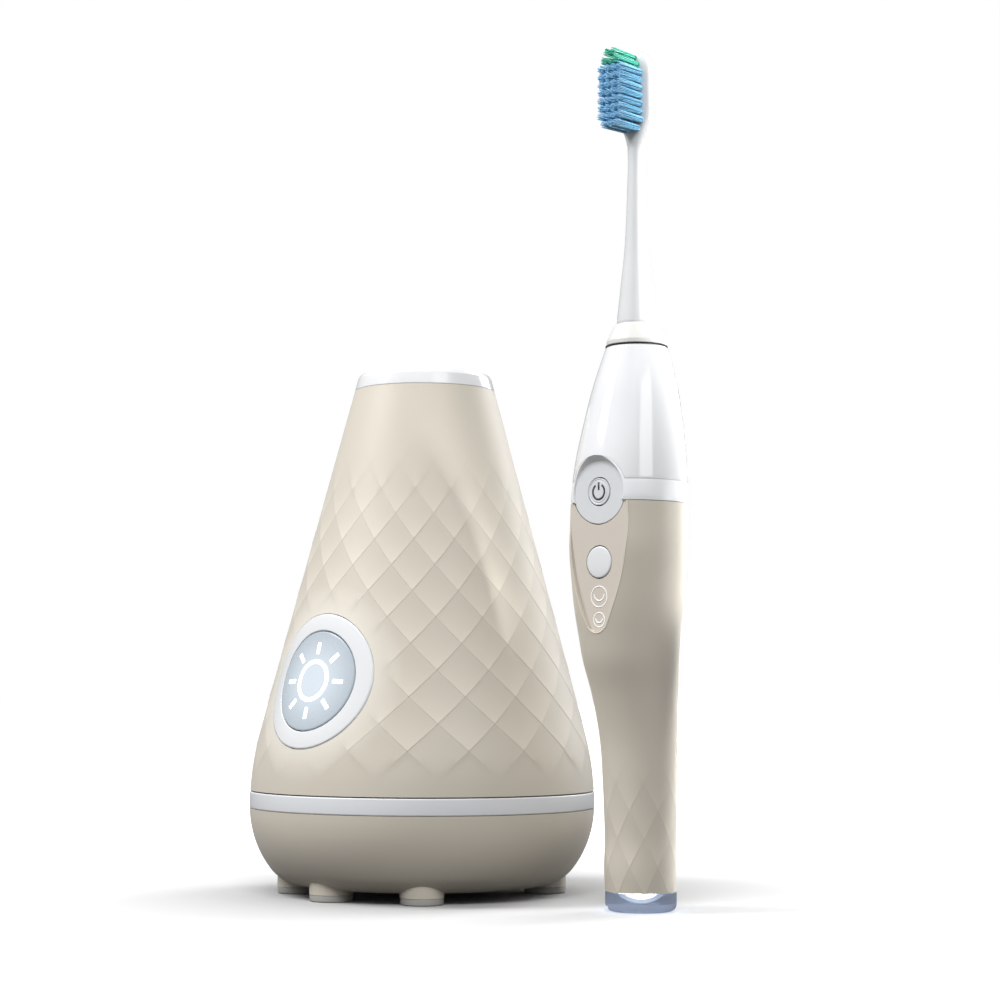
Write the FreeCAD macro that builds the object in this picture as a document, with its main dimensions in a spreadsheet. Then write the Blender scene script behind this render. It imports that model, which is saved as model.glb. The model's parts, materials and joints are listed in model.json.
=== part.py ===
"""Toothbrush sanitizer: a cone-shaped UV drying station and the sonic toothbrush that docks in it head down.

Millimetres, +Z up, both fronts facing -Y. The origin is on the standing surface, at the centre of the footprint.
Every piece is a sub-part of its own, exported to parts/NAME.step.
"""

import FreeCAD
import Part
import Sketcher  # noqa: F401  registers the sketch object
import math
import os

# Length of the cutting tools that run right through a wall, in millimetres.
REACH = 30.0

# Driving dimensions, in millimetres and degrees.
DIMENSIONS = {
    # station: where the two units stand, and the cone-shaped casing
    "unit_spacing": 81.0,
    "brush_setback": 3.8,
    "shell_radius": 51.3,
    "shell_wall": 2.2,
    "cone_top_radius": 21.2,
    "cone_top_z": 150.0,
    "cone_foot_radius": 48.42,
    "cone_foot_z": 48.0,
    "cone_foot_bend": 86.0,
    "shell_seam_radius": 51.19,
    # trim band and lower bowl
    "band_top_z": 30.3,
    "band_low_z": 25.3,
    "band_depth": 2.9,
    "bowl_floor_z": 3.0,
    "bowl_flat_radius": 35.5,
    "bowl_side_bend": 30.0,
    "bowl_floor_bend": 12.1,
    "bowl_turn_radius": 45.09,
    "bowl_turn_z": 7.73,
    # feet
    "screw_clearance": 0.15,
    "foot_circle": 36.6,
    "foot_radius": 6.3,
    "foot_post_top_z": 8.2,
    "pad_height": 2.0,
    "pad_inset": 0.1,
    # docking mouth and chamber
    "mouth_radius": 17.8,
    "rim_top_z": 154.8,
    "rim_skirt_z": 146.0,
    "rim_skirt_radius": 18.9,
    "rim_shoulder_z": 153.5,
    "rim_shoulder_radius": 20.35,
    "rim_crown_radius": 19.15,
    "rim_outer_bend": 1.6,
    "rim_lip_radius": 18.8,
    "rim_lip_drop": 1.0,
    "gasket_height": 1.0,
    "sleeve_wall": 1.2,
    "sleeve_low_z": 66.0,
    "chamber_wall": 1.0,
    "chamber_floor_z": 24.5,
    "chamber_floor": 1.2,
    "chamber_vent_radius": 1.4,
    "chamber_vent_circle": 9.0,
    # lamps
    "window_z": 42.0,
    "window_radius": 5.0,
    "lamp_board_gap": 3.2,
    "lamp_board_width": 12.0,
    "lamp_board_height": 30.0,
    "board_thick": 1.2,
    "led_size": 3.2,
    "led_height": 1.4,
    "led_pitch": 4.2,
    # charging coil
    "coil_low_z": 132.0,
    "coil_height": 11.0,
    "coil_inner_radius": 19.4,
    "coil_outer_radius": 20.4,
    "bobbin_wall": 0.3,
    "bobbin_flange": 1.0,
    # chassis
    "chassis_z": 22.5,
    "chassis_thick": 2.0,
    "chassis_hole": 16.5,
    "chassis_radius": 48.2,
    "chassis_rim_top_z": 34.0,
    "chassis_rim_wall": 1.5,
    "chassis_post_radius": 3.5,
    "bowl_screw_circle": 26.0,
    "screw_radius": 1.4,
    "screw_head_radius": 2.6,
    "screw_head": 1.3,
    "bowl_screw_length": 12.0,
    # drying fan
    "fan_side": 40.0,
    "fan_height": 10.0,
    "fan_bore": 18.6,
    "fan_hub_radius": 8.0,
    "fan_hub_plate": 1.5,
    "fan_strut": 2.2,
    "fan_rotor_gap": 0.4,
    "fan_blade_radius": 18.0,
    "fan_blade_thick": 1.0,
    "fan_blade_height": 6.0,
    "fan_blade_pitch": 35.0,
    "fan_screw_offset": 16.0,
    "fan_screw_length": 8.0,
    # main board and its parts
    "main_board_width": 40.0,
    "main_board_depth": 18.0,
    "main_board_front": 21.0,
    "main_board_z": 28.0,
    "capacitor_radius": 3.2,
    "capacitor_height": 8.0,
    "chip_size": 7.0,
    "chip_height": 1.6,
    # mains-adapter inlet
    "inlet_z": 15.0,
    "inlet_front": 33.0,
    "inlet_back": 42.6,
    "inlet_width": 9.6,
    "inlet_snout_radius": 4.0,
    "inlet_face": 48.4,
    "inlet_bore_radius": 2.9,
    "inlet_bore_depth": 10.0,
    "inlet_pin_radius": 1.0,
    "inlet_pin_length": 8.0,
    "lead_radius": 0.7,
    "lead_slot_y": 31.2,
    # station button
    "button_z": 62.6,
    "button_surface": 44.53,
    "button_tilt": 14.9,
    "bezel_radius": 19.9,
    "bezel_proud": 0.25,
    "lens_radius": 14.6,
    "lens_gap": 0.3,
    "lens_thick": 2.0,
    "symbol_radius": 5.0,
    "symbol_stroke": 1.3,
    "symbol_ray_start": 7.4,
    "symbol_ray_length": 2.9,
    "guide_radius": 16.8,
    "guide_depth": 14.2,
    "plunger_radius": 1.6,
    "plunger_depth": 9.6,
    "button_board_depth": 14.0,
    "switch_size": 6.0,
    "switch_height": 3.4,
    # toothbrush handle
    "handle_wall": 1.8,
    "handle_low_z": 5.4,
    "shell_split_z": 111.4,
    "collar_top_z": 117.2,
    "handle_top_z": 155.5,
    "pad_radius": 9.35,
    "pad_z": 114.6,
    "pad_slope": 0.65,
    "pad_floor": 1.5,
    "control_face": 17.5,
    "front_cut_start": 6.0,
    "power_radius": 3.7,
    "power_z": 114.1,
    "button_clearance": 0.25,
    "power_proud": 0.15,
    "power_ring": 2.1,
    "power_stroke": 0.5,
    "mode_radius": 4.3,
    "mode_z": 94.9,
    "mode_proud": 0.3,
    "inlay_depth": 0.25,
    "panel_thick": 1.2,
    "panel_top_half": 9.6,
    "panel_tip_half": 3.1,
    "panel_tip_z": 77.6,
    "panel_side_bend": 62.0,
    "panel_tip_bend": 3.4,
    "icon_large_z": 85.5,
    "icon_large_radius": 2.9,
    "icon_small_z": 79.2,
    "icon_small_radius": 2.0,
    "icon_stroke": 0.35,
    # handle's end cap
    "cap_radius": 9.8,
    "cap_edge_bend": 2.6,
    "cap_wall": 1.4,
    "cap_plug_radius": 7.5,
    "cap_plug_top_z": 9.0,
    "dome_width": 4.9,
    "dome_drop": 2.5,
    # handle's works
    "battery_radius": 7.0,
    "battery_low_z": 16.0,
    "battery_length": 48.0,
    "motor_radius": 7.4,
    "motor_low_z": 96.0,
    "motor_length": 38.0,
    "shaft_radius": 1.6,
    "shaft_top_z": 182.0,
    "neck_forward": 1.3,
    "neck_seal_height": 1.0,
    "neck_seal_radius": 8.7,
    "gland_low_z": 149.0,
    "shaft_clearance": 0.06,
    "receiver_low_z": 121.5,
    "receiver_height": 9.0,
    "receiver_radius": 11.4,
    "receiver_wall": 1.2,
    "receiver_forward": 3.3,
    "handle_board_width": 9.0,
    "handle_board_low_z": 68.0,
    "handle_board_length": 52.0,
    "handle_board_front": 14.2,
    "handle_switch_depth": 1.6,
    "stem_gap": 0.6,
    # brush head
    "ring_low_z": 156.8,
    "ring_top_z": 162.0,
    "ring_low_radius": 8.4,
    "ring_top_radius": 5.75,
    "stem_foot_radius": 5.55,
    "head_low_z": 213.4,
    "head_top_z": 240.0,
    "head_half_width": 5.9,
    "head_thick": 4.6,
    "head_round": 1.6,
    "tuft_radius": 0.85,
    "tuft_length": 9.9,
    "tuft_pitch": 2.25,
    "tuft_column": 2.2,
    "tuft_low_z": 217.4,
}

# Handle sections: height, radius, and how far the section's centre stands forward of the handle's foot.
HANDLE_SECTIONS = [
    (5.4, 9.75, 0.0),
    (17.0, 9.9, 0.07),
    (28.0, 10.08, 0.17),
    (38.0, 10.35, 0.38),
    (47.0, 10.75, 0.85),
    (56.0, 11.55, 1.95),
    (65.0, 12.75, 3.4),
    (74.0, 13.95, 4.6),
    (83.0, 15.0, 5.15),
    (92.0, 15.8, 5.15),
    (101.0, 16.2, 5.0),
    (110.0, 16.25, 4.75),
    (119.0, 15.9, 4.2),
    (128.0, 14.85, 3.4),
    (137.0, 13.35, 2.55),
    (146.0, 11.45, 1.85),
    (155.5, 8.65, 1.3),
]
# Stem sections between the colour ring and the head: height and radius.
STEM_SECTIONS = [(162.0, 5.55), (173.0, 4.35), (184.0, 3.3), (197.0, 2.7), (209.0, 2.35), (215.5, 2.5)]
FOOT_ANGLES = [0, 45, -45, 135, -135]
VENT_COUNT = 12
VENT_WIDTH = 2.4
VENT_LENGTH = 8.0
VENT_START = 11.0
FAN_BLADES = 7
SYMBOL_RAYS = 8
TUFTS_PER_ROW = [3, 4, 4, 4, 4, 4, 4, 4]
TIP_TUFTS_PER_ROW = [3, 2]

doc = FreeCAD.newDocument("toothbrush_sanitizer")
sheet = doc.addObject("Spreadsheet::Sheet", "Sizes")
nodes = {}
own_offsets = {}
handle_forms = {}


class Size:
    """A number together with the formula that binds it to the sheet."""

    def __init__(self, value, formula=None):
        self.value = float(value)
        self.formula = formula or repr(float(value))

    def __add__(self, other):
        other = as_size(other)
        return Size(self.value + other.value, f"({self.formula} + {other.formula})")

    def __sub__(self, other):
        other = as_size(other)
        return Size(self.value - other.value, f"({self.formula} - {other.formula})")

    def __mul__(self, other):
        other = as_size(other)
        return Size(self.value * other.value, f"({self.formula} * {other.formula})")

    def __truediv__(self, other):
        other = as_size(other)
        return Size(self.value / other.value, f"({self.formula} / {other.formula})")

    def __neg__(self):
        return Size(-self.value, f"(0 - {self.formula})")


def as_size(number):
    return number if isinstance(number, Size) else Size(number)


def cosine(angle):
    return Size(math.cos(math.radians(angle.value)), f"cos({angle.formula})")


def sine(angle):
    return Size(math.sin(math.radians(angle.value)), f"sin({angle.formula})")


def fill_sheet():
    """Writes each driving dimension to its own row and returns the bound sizes by name."""
    rows = dict(DIMENSIONS)
    for i, (z, radius, forward) in enumerate(HANDLE_SECTIONS):
        rows.update({f"handle{i}_height": z, f"handle{i}_radius": radius, f"handle{i}_forward": forward})
    for i, (z, radius) in enumerate(STEM_SECTIONS):
        rows.update({f"stem{i}_height": z, f"stem{i}_radius": radius})
    bound = {}
    for row, (name, value) in enumerate(rows.items(), start=1):
        sheet.set(f"A{row}", name)
        sheet.set(f"B{row}", str(value))
        sheet.setAlias(f"B{row}", name)
        bound[name] = Size(value, f"Sizes.{name}")
    doc.recompute()
    return bound


dims = fill_sheet()


def at(name):
    return dims[name]


def bind(thing, prop, value):
    """Sets a property to a size's number and keeps it bound to the size's formula."""
    thing.setExpression(prop, as_size(value).formula)


def put(thing, x=0, y=0, z=0, turn=None):
    """Places a tool: turn is an (axis, degrees) pair, and x, y and z may be sizes."""
    rotation = FreeCAD.Rotation(FreeCAD.Vector(*turn[0]), turn[1]) if turn else FreeCAD.Rotation()
    spot = [as_size(v) for v in (x, y, z)]
    own_offsets[thing.Name] = spot[:2]
    thing.Placement = FreeCAD.Placement(FreeCAD.Vector(*[v.value for v in spot]), rotation)
    for letter, v in zip("xyz", spot):
        if "Sizes" in v.formula:
            bind(thing, f".Placement.Base.{letter}", v)
    return thing


# ---- primitives and booleans -------------------------------------------------------------------

TO_FRONT = ((1, 0, 0), 90)
TO_BACK = ((1, 0, 0), -90)
TO_SIDE = ((0, 1, 0), 90)


def cylinder(radius, height, x=0, y=0, z=0, turn=None):
    thing = doc.addObject("Part::Cylinder", "Cylinder")
    bind(thing, "Radius", radius)
    bind(thing, "Height", height)
    return put(thing, x, y, z, turn)


def block(width, depth, height, x=0, y=0, z=0):
    """A box centred on x, with its front at y and its underside at z."""
    thing = doc.addObject("Part::Box", "Box")
    for prop, value in (("Length", width), ("Width", depth), ("Height", height)):
        bind(thing, prop, value)
    return put(thing, as_size(x) - as_size(width) / 2, y, z)


def boolean(kind, first, second):
    thing = doc.addObject(kind, kind.split("::")[1])
    thing.Base = first
    thing.Tool = second
    return thing


def cut(first, *tools):
    for tool in tools:
        first = boolean("Part::Cut", first, tool)
    return first


def common(first, second):
    return boolean("Part::Common", first, second)


def fuse(things):
    if len(things) == 1:
        return things[0]
    thing = doc.addObject("Part::MultiFuse", "Fusion")
    thing.Shapes = things
    return thing


def group(things):
    """Separate solids that share one node."""
    thing = doc.addObject("Part::Compound", "Group")
    thing.Links = things
    return thing


def tube(outer, inner, height, x=0, y=0, z=0, turn=None):
    return cut(cylinder(outer, height, x, y, z, turn), cylinder(inner, height, x, y, z, turn))


# ---- sketched bodies ---------------------------------------------------------------------------


def centre_of(start, end, bend):
    """Centre of the arc from start to end. A positive bend turns anticlockwise."""
    chord = end - start
    half = chord.Length / 2
    rise = math.sqrt(max(bend * bend - half * half, 0.0))
    left = FreeCAD.Vector(-chord.y, chord.x, 0).normalize()
    return (start + end) / 2 + left * math.copysign(rise, bend)


def add_edge(sketch, start, end, bend):
    """Adds the edge that leads to end, and returns which of its points are its first and last."""
    if bend is None:
        sketch.addGeometry(Part.LineSegment(start, end), False)
        return 1, 2
    centre = centre_of(start, end, bend.value)
    first, last = (start, end) if bend.value > 0 else (end, start)
    angle = [math.atan2(p.y - centre.y, p.x - centre.x) for p in (first, last)]
    circle = Part.Circle(centre, FreeCAD.Vector(0, 0, 1), abs(bend.value))
    sketch.addGeometry(Part.ArcOfCircle(circle, angle[0], angle[1]), False)
    return (1, 2) if bend.value > 0 else (2, 1)


def sketch_on(body, role, outline):
    """A closed outline on one of the body's origin planes. Each corner is (x, y) or (x, y, bend of the edge to it)."""
    sketch = body.newObject("Sketcher::SketchObject", "Sketch")
    plane = [f for f in body.Origin.OriginFeatures if f.Role == role][0]
    sketch.AttachmentSupport = [(plane, "")]
    sketch.MapMode = "FlatFace"
    corners = [(as_size(c[0]), as_size(c[1]), as_size(c[2]) if len(c) > 2 else None) for c in outline]
    points = [FreeCAD.Vector(x.value, y.value, 0) for x, y, _ in corners]
    ends = [add_edge(sketch, points[i - 1], points[i], corners[i][2]) for i in range(len(corners))]
    for i, (x, y, bend) in enumerate(corners):
        following = (i + 1) % len(corners)
        last, first = ends[i][1], ends[following][0]
        sketch.addConstraint(Sketcher.Constraint("Coincident", i, last, following, first))
        for kind, axis, value in (("DistanceX", -2, x), ("DistanceY", -1, y)):
            if value.value == 0:
                sketch.addConstraint(Sketcher.Constraint("PointOnObject", i, last, axis))
            else:
                n = sketch.addConstraint(Sketcher.Constraint(kind, -1, 1, i, last, value.value))
                bind(sketch, f"Constraints[{n}]", value)
        if bend is not None:
            n = sketch.addConstraint(Sketcher.Constraint("Radius", i, abs(bend.value)))
            bind(sketch, f"Constraints[{n}]", bend if bend.value > 0 else -bend)
    return sketch


def revolved(outline):
    """A body turned about Z from an outline of (radius, height) corners."""
    body = doc.addObject("PartDesign::Body", "Body")
    sketch = sketch_on(body, "XZ_Plane", outline)
    turn = body.newObject("PartDesign::Revolution", "Revolution")
    turn.Profile = sketch
    turn.ReferenceAxis = (sketch, ["V_Axis"])
    turn.Angle = 360
    body.Tip = turn
    return body


def padded(outline, length, role="XZ_Plane"):
    """A body padded from an outline: on the XZ plane it runs towards the front."""
    body = doc.addObject("PartDesign::Body", "Body")
    sketch = sketch_on(body, role, outline)
    pad = body.newObject("PartDesign::Pad", "Pad")
    pad.Profile = sketch
    bind(pad, "Length", length)
    body.Tip = pad
    return body


def loft(sections, grow=0):
    """A smooth solid through circles, each given as (height, radius, forward)."""
    circles = []
    for z, radius, forward in sections:
        circle = doc.addObject("Part::Circle", "Circle")
        bind(circle, "Radius", radius + grow)
        circles.append(put(circle, 0, -forward, z))
    thing = doc.addObject("Part::Loft", "Loft")
    thing.Sections = circles
    thing.Solid = True
    thing.Ruled = False
    return thing


def lead(points, radius):
    """An insulated lead: straight runs joined by tangent arcs, as large as the shorter run allows."""
    corners = [FreeCAD.Vector(*p) for p in points]
    edges = []
    start = corners[0]
    for before, corner, after in zip(corners, corners[1:], corners[2:]):
        arriving = (corner - before).normalize()
        leaving = (after - corner).normalize()
        half_turn = arriving.getAngle(leaving) / 2
        reach = 0.45 * min((corner - before).Length, (after - corner).Length)
        first, last = corner - arriving * reach, corner + leaving * reach
        inward = (leaving - arriving).normalize()
        bend = reach / math.tan(half_turn)
        middle = corner + inward * (bend / math.cos(half_turn) - bend)
        edges += [Part.LineSegment(start, first).toShape(), Part.Arc(first, middle, last).toShape()]
        start = last
    edges.append(Part.LineSegment(start, corners[-1]).toShape())
    path = Part.Wire(edges)
    section = Part.Wire(Part.makeCircle(radius, corners[0], corners[1] - corners[0]))
    return path.makePipeShell([section], True, True)


def keep(name, thing, unit_x, unit_y):
    """Names a finished sub-part and moves it to the unit it belongs to."""
    own_x, own_y = own_offsets.get(thing.Name, (Size(0), Size(0)))
    thing.Label = name
    bind(thing, ".Placement.Base.x", unit_x + own_x)
    bind(thing, ".Placement.Base.y", unit_y + own_y)
    nodes[name] = thing
    return thing


# The set's footprint is centred on the origin.
station_x = -(at("unit_spacing") + at("handle11_radius") - at("shell_radius")) / 2
brush_x = station_x + at("unit_spacing")


def station(name, thing):
    return keep(name, thing, station_x, Size(0))


def brush(name, thing):
    return keep(name, thing, brush_x, at("brush_setback"))


# ---- station: casing ---------------------------------------------------------------------------


def cone_form(grow=0):
    """The casing's outer form above the band, filled to the axis and grown by an offset."""
    foot = at("cone_foot_bend") + grow
    return revolved([
        (0, at("band_top_z")),
        (at("shell_seam_radius") + grow, at("band_top_z")),
        (at("cone_foot_radius") + grow, at("cone_foot_z"), foot),
        (at("cone_top_radius") + grow, at("cone_top_z")),
        (0, at("cone_top_z")),
    ])


def button_tool(radius, depth, length):
    """A cylinder square to the casing at the button, from a depth inside the surface outwards."""
    tilt = at("button_tilt")
    y = as_size(depth) * cosine(tilt) - at("button_surface")
    z = at("button_z") - as_size(depth) * sine(tilt)
    return cylinder(radius, length, 0, y, z, ((1, 0, 0), 90 - tilt.value))


def make_outer_shell():
    shell = cut(cone_form(), cone_form(-at("shell_wall")))
    station("outer_shell", cut(shell, button_tool(at("bezel_radius"), 12, 20)))


def make_trim_band():
    outer, low, top = at("shell_radius"), at("band_low_z"), at("band_top_z")
    inner = outer - at("band_depth")
    station("trim_band", revolved([(inner, low), (outer, low), (outer, top), (inner, top)]))


def bowl_form(inset):
    """The bowl's outer form below the band, filled to the axis and shrunk by an inset."""
    side, floor = at("bowl_side_bend") - inset, at("bowl_floor_bend") - inset
    slant = at("shell_radius") - at("bowl_side_bend")
    share = side / at("bowl_side_bend")
    rise = at("band_low_z") + 0.7
    return revolved([
        (0, at("bowl_floor_z") + inset),
        (at("bowl_flat_radius"), at("bowl_floor_z") + inset),
        (slant + (at("bowl_turn_radius") - slant) * share, rise - (rise - at("bowl_turn_z")) * share, floor),
        (at("shell_radius") - inset - 0.01, at("band_low_z"), side),
        (0, at("band_low_z")),
    ])


def foot_spots():
    for angle in FOOT_ANGLES:
        turn = math.radians(angle)
        yield at("foot_circle") * math.sin(turn), -at("foot_circle") * math.cos(turn)


def bowl_screw_spots():
    circle = at("bowl_screw_circle")
    return [(circle, 0), (-circle, 0), (0, circle), (0, -circle)]


def make_lower_bowl():
    wall = at("shell_wall")
    low = at("pad_height")
    posts = [cylinder(at("foot_radius"), at("foot_post_top_z") - low, x, y, low) for x, y in foot_spots()]
    bowl = fuse([cut(bowl_form(as_size(0)), bowl_form(wall)), *posts])
    slots = []
    for i in range(VENT_COUNT):
        slot = block(VENT_WIDTH, VENT_LENGTH, REACH, 0, VENT_START, -REACH / 2)
        slot.Placement = FreeCAD.Placement(FreeCAD.Vector(), FreeCAD.Rotation(FreeCAD.Vector(0, 0, 1),
                                           360 * i / VENT_COUNT)).multiply(slot.Placement)
        slots.append(slot)
    gap = at("screw_clearance")
    holes = [cylinder(at("screw_radius") + gap, REACH, x, y, -REACH / 2) for x, y in bowl_screw_spots()]
    sinks = [cylinder(at("screw_head_radius") + gap, at("screw_head"), x, y, at("bowl_floor_z"))
             for x, y in bowl_screw_spots()]
    inlet = cylinder(at("inlet_snout_radius") + 0.1, 12, 0, 40, at("inlet_z"), TO_BACK)
    station("lower_bowl", cut(bowl, fuse(slots), fuse(holes + sinks), inlet))


def make_feet():
    pads = [cylinder(at("foot_radius") - at("pad_inset"), at("pad_height"), x, y, 0) for x, y in foot_spots()]
    station("foot_pads", group(pads))


def screw(x, y, z, length, upwards=True):
    """A pan-head screw. Its head's outer face is at z, and it runs up or down from there."""
    head = at("screw_head")
    if upwards:
        return fuse([cylinder(at("screw_head_radius"), head, x, y, z),
                     cylinder(at("screw_radius"), length, x, y, as_size(z) + head)])
    return fuse([cylinder(at("screw_head_radius"), head, x, y, as_size(z) - head),
                 cylinder(at("screw_radius"), length, x, y, as_size(z) - head - length)])


def make_bowl_screws():
    screws = [screw(x, y, at("bowl_floor_z"), at("bowl_screw_length")) for x, y in bowl_screw_spots()]
    station("bowl_screws", group(screws))


# ---- station: docking mouth, sleeve, chamber ---------------------------------------------------


def make_top_rim():
    mouth, top = at("mouth_radius"), at("rim_top_z")
    station("top_rim", revolved([
        (mouth, at("rim_skirt_z")),
        (at("rim_skirt_radius"), at("rim_skirt_z")),
        (at("rim_skirt_radius"), at("cone_top_z")),
        (at("cone_top_radius"), at("cone_top_z")),
        (at("rim_shoulder_radius"), at("rim_shoulder_z")),
        (at("rim_crown_radius"), top, at("rim_outer_bend")),
        (at("rim_lip_radius"), top),
        (mouth, top - at("rim_lip_drop"), at("rim_lip_drop")),
    ]))


def make_dock_sleeve():
    mouth = at("mouth_radius")
    top = at("rim_skirt_z") - at("gasket_height")
    station("rim_gasket", tube(at("rim_skirt_radius"), mouth + 0.1, at("gasket_height"), 0, 0, top))
    station("dock_sleeve", tube(mouth + at("sleeve_wall"), mouth, top - at("sleeve_low_z"), 0, 0, at("sleeve_low_z")))


def window_tools(radius, start, length):
    """A pair of cylinders along X, one on each side of the chamber, that begin at a distance from its axis."""
    right = cylinder(radius, length, start, 0, at("window_z"), TO_SIDE)
    left = cylinder(radius, length, -(as_size(start) + length), 0, at("window_z"), TO_SIDE)
    return [right, left]


def make_chamber():
    mouth, floor_z = at("mouth_radius"), at("chamber_floor_z")
    outer = mouth + at("chamber_wall")
    height = at("sleeve_low_z") - floor_z
    cup = cut(cylinder(outer, height, 0, 0, floor_z),
              cylinder(mouth, height, 0, 0, floor_z + at("chamber_floor")))
    circle = at("chamber_vent_circle")
    vents = [cylinder(at("chamber_vent_radius"), 4, 0, 0, floor_z - 1)]
    for i in range(8):
        turn = math.radians(45 * i)
        vents.append(cylinder(at("chamber_vent_radius"), 4, circle * math.cos(turn), circle * math.sin(turn),
                              floor_z - 1))
    windows = window_tools(at("window_radius"), 14, 6)
    station("uv_chamber", cut(cup, fuse(vents), fuse(windows)))
    panes = common(fuse(window_tools(at("window_radius"), 14, 6)),
                   tube(outer, mouth, height, 0, 0, floor_z))
    station("uv_windows", panes)


def make_lamps():
    board_x = at("mouth_radius") + at("chamber_wall") + at("lamp_board_gap")
    thick, width, height = at("board_thick"), at("lamp_board_width"), at("lamp_board_height")
    led, led_height = at("led_size"), at("led_height")
    boards, leds = [], []
    for side in (1, -1):
        middle = (board_x + thick / 2) * side
        boards.append(block(thick, width, height, middle, -width / 2, at("window_z") - height / 2))
        for step in (-1, 0, 1):
            z = at("window_z") + at("led_pitch") * step - led / 2
            leds.append(block(led_height, led, led, (board_x - led_height / 2) * side, -led / 2, z))
    station("uv_lamp_boards", group(boards))
    station("uv_leds", group(leds))


def make_charging_coil():
    inner, outer, height = at("coil_inner_radius"), at("coil_outer_radius"), at("coil_height")
    z, wall, flange = at("coil_low_z"), at("bobbin_wall"), at("bobbin_flange")
    station("charging_coil", tube(outer, inner, height, 0, 0, z))
    station("coil_bobbin", revolved([
        (inner - wall, z - flange),
        (outer, z - flange),
        (outer, z),
        (inner, z),
        (inner, z + height),
        (outer, z + height),
        (outer, z + height + flange / 2),
        (inner - wall, z + height + flange / 2),
    ]))


# ---- station: chassis, fan, electronics --------------------------------------------------------


def make_chassis():
    z, thick, rim = at("chassis_z"), at("chassis_thick"), at("chassis_radius")
    dish = revolved([
        (at("chassis_hole"), z),
        (rim, z),
        (rim, at("chassis_rim_top_z")),
        (rim - at("chassis_rim_wall"), at("chassis_rim_top_z")),
        (rim - at("chassis_rim_wall"), z + thick),
        (at("chassis_hole"), z + thick),
    ])
    floor = at("bowl_floor_z") + at("shell_wall")
    posts = [cylinder(at("chassis_post_radius"), z - floor, x, y, floor) for x, y in bowl_screw_spots()]
    standoffs = [cylinder(1.8, at("main_board_z") - z - thick, x, y, z + thick) for x, y in board_spots()]
    offset = at("fan_screw_offset")
    fan_holes = [cylinder(at("screw_radius") + 0.1, thick + 2, offset * i, offset * j, z - 1)
                 for i in (1, -1) for j in (1, -1)]
    head_wells = [cylinder(at("screw_head_radius") + 0.1, at("screw_head"), offset * i, offset * j,
                           z + thick - at("screw_head")) for i in (1, -1) for j in (1, -1)]
    pilots = [cylinder(at("screw_radius"), at("bowl_screw_length"), x, y, at("bowl_floor_z") + at("screw_head"))
              for x, y in bowl_screw_spots()]
    lead_slot = block(7.2, 2.4, thick + 2, 0, at("lead_slot_y") - 1.2, z - 1)
    solid = fuse([dish, *posts, *standoffs])
    station("chassis", cut(solid, fuse(fan_holes + head_wells), fuse(pilots), lead_slot))


def make_fan():
    side, height = at("fan_side"), at("fan_height")
    low = at("chassis_z") - height
    frame = cut(block(side, side, height, 0, -side / 2, low), cylinder(at("fan_bore"), height, 0, 0, low))
    struts = []
    for i in range(3):
        strut = cylinder(at("fan_strut") / 2, at("fan_bore") + 0.6, 0, 0, low + at("fan_strut") / 2, TO_SIDE)
        strut.Placement.Rotation = FreeCAD.Rotation(FreeCAD.Vector(0, 0, 1), 120 * i + 30) * strut.Placement.Rotation
        struts.append(strut)
    hub_plate = cylinder(at("fan_hub_radius"), at("fan_strut"), 0, 0, low)
    pin = cylinder(at("screw_radius"), height - 2, 0, 0, low)
    offset = at("fan_screw_offset")
    pilots = [cylinder(at("screw_radius"), at("fan_screw_length"), offset * i, offset * j,
                       low + height - at("fan_screw_length") + at("chassis_thick") - at("screw_head"))
              for i in (1, -1) for j in (1, -1)]
    station("fan_frame", cut(fuse([frame, *struts, hub_plate, pin]), fuse(pilots)))
    screws = [screw(offset * i, offset * j, at("chassis_z") + at("chassis_thick"), at("fan_screw_length"), False)
              for i in (1, -1) for j in (1, -1)]
    station("fan_screws", group(screws))
    make_fan_rotor(low)


def make_fan_rotor(low):
    base = low + at("fan_strut") + at("fan_rotor_gap")
    hub = cylinder(at("fan_hub_radius"), at("fan_blade_height") + at("fan_hub_plate") - 1, 0, 0, base)
    blades = []
    reach = at("fan_blade_radius") - at("fan_hub_radius") + 1.5
    for i in range(FAN_BLADES):
        blade = block(reach, at("fan_blade_thick"), at("fan_blade_height"), 0, 0, 0)
        lean = FreeCAD.Rotation(FreeCAD.Vector(1, 0, 0), at("fan_blade_pitch").value)
        spin = FreeCAD.Rotation(FreeCAD.Vector(0, 0, 1), 360 * i / FAN_BLADES)
        start = FreeCAD.Vector(at("fan_hub_radius").value - 1.5, 1.0, base.value + 0.2)
        blade.setExpression(".Placement.Base.x", None)
        blade.Placement = FreeCAD.Placement(spin.multVec(start), spin * lean)
        blades.append(blade)
    well = cylinder(at("screw_radius") + 0.2, at("fan_blade_height") - 0.5, 0, 0, base)
    envelope = cylinder(at("fan_blade_radius"), at("fan_height"), 0, 0, base)
    station("fan_rotor", cut(fuse([hub, common(fuse(blades), envelope)]), well))


def board_spots():
    x = at("main_board_width") / 2 - 3
    front, depth = at("main_board_front"), at("main_board_depth")
    return [(x, front + 3), (-x, front + 3), (x, front + depth - 3), (-x, front + depth - 3)]


def make_main_board():
    width, depth, z = at("main_board_width"), at("main_board_depth"), at("main_board_z")
    front, top = at("main_board_front"), at("main_board_z") + at("board_thick")
    station("main_board", block(width, depth, at("board_thick"), 0, front, z))
    chip = at("chip_size")
    parts = [
        block(chip, chip, at("chip_height"), 0, front + 4, top),
        block(chip, chip * 0.6, at("chip_height"), -chip * 1.5, front + 9, top),
        cylinder(at("capacitor_radius"), at("capacitor_height"), chip * 1.4, front + depth / 2, top),
        cylinder(at("capacitor_radius") * 0.8, at("capacitor_height") * 0.8, chip * 1.4 - 7, front + depth - 4, top),
    ]
    station("board_components", group(parts))


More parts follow.
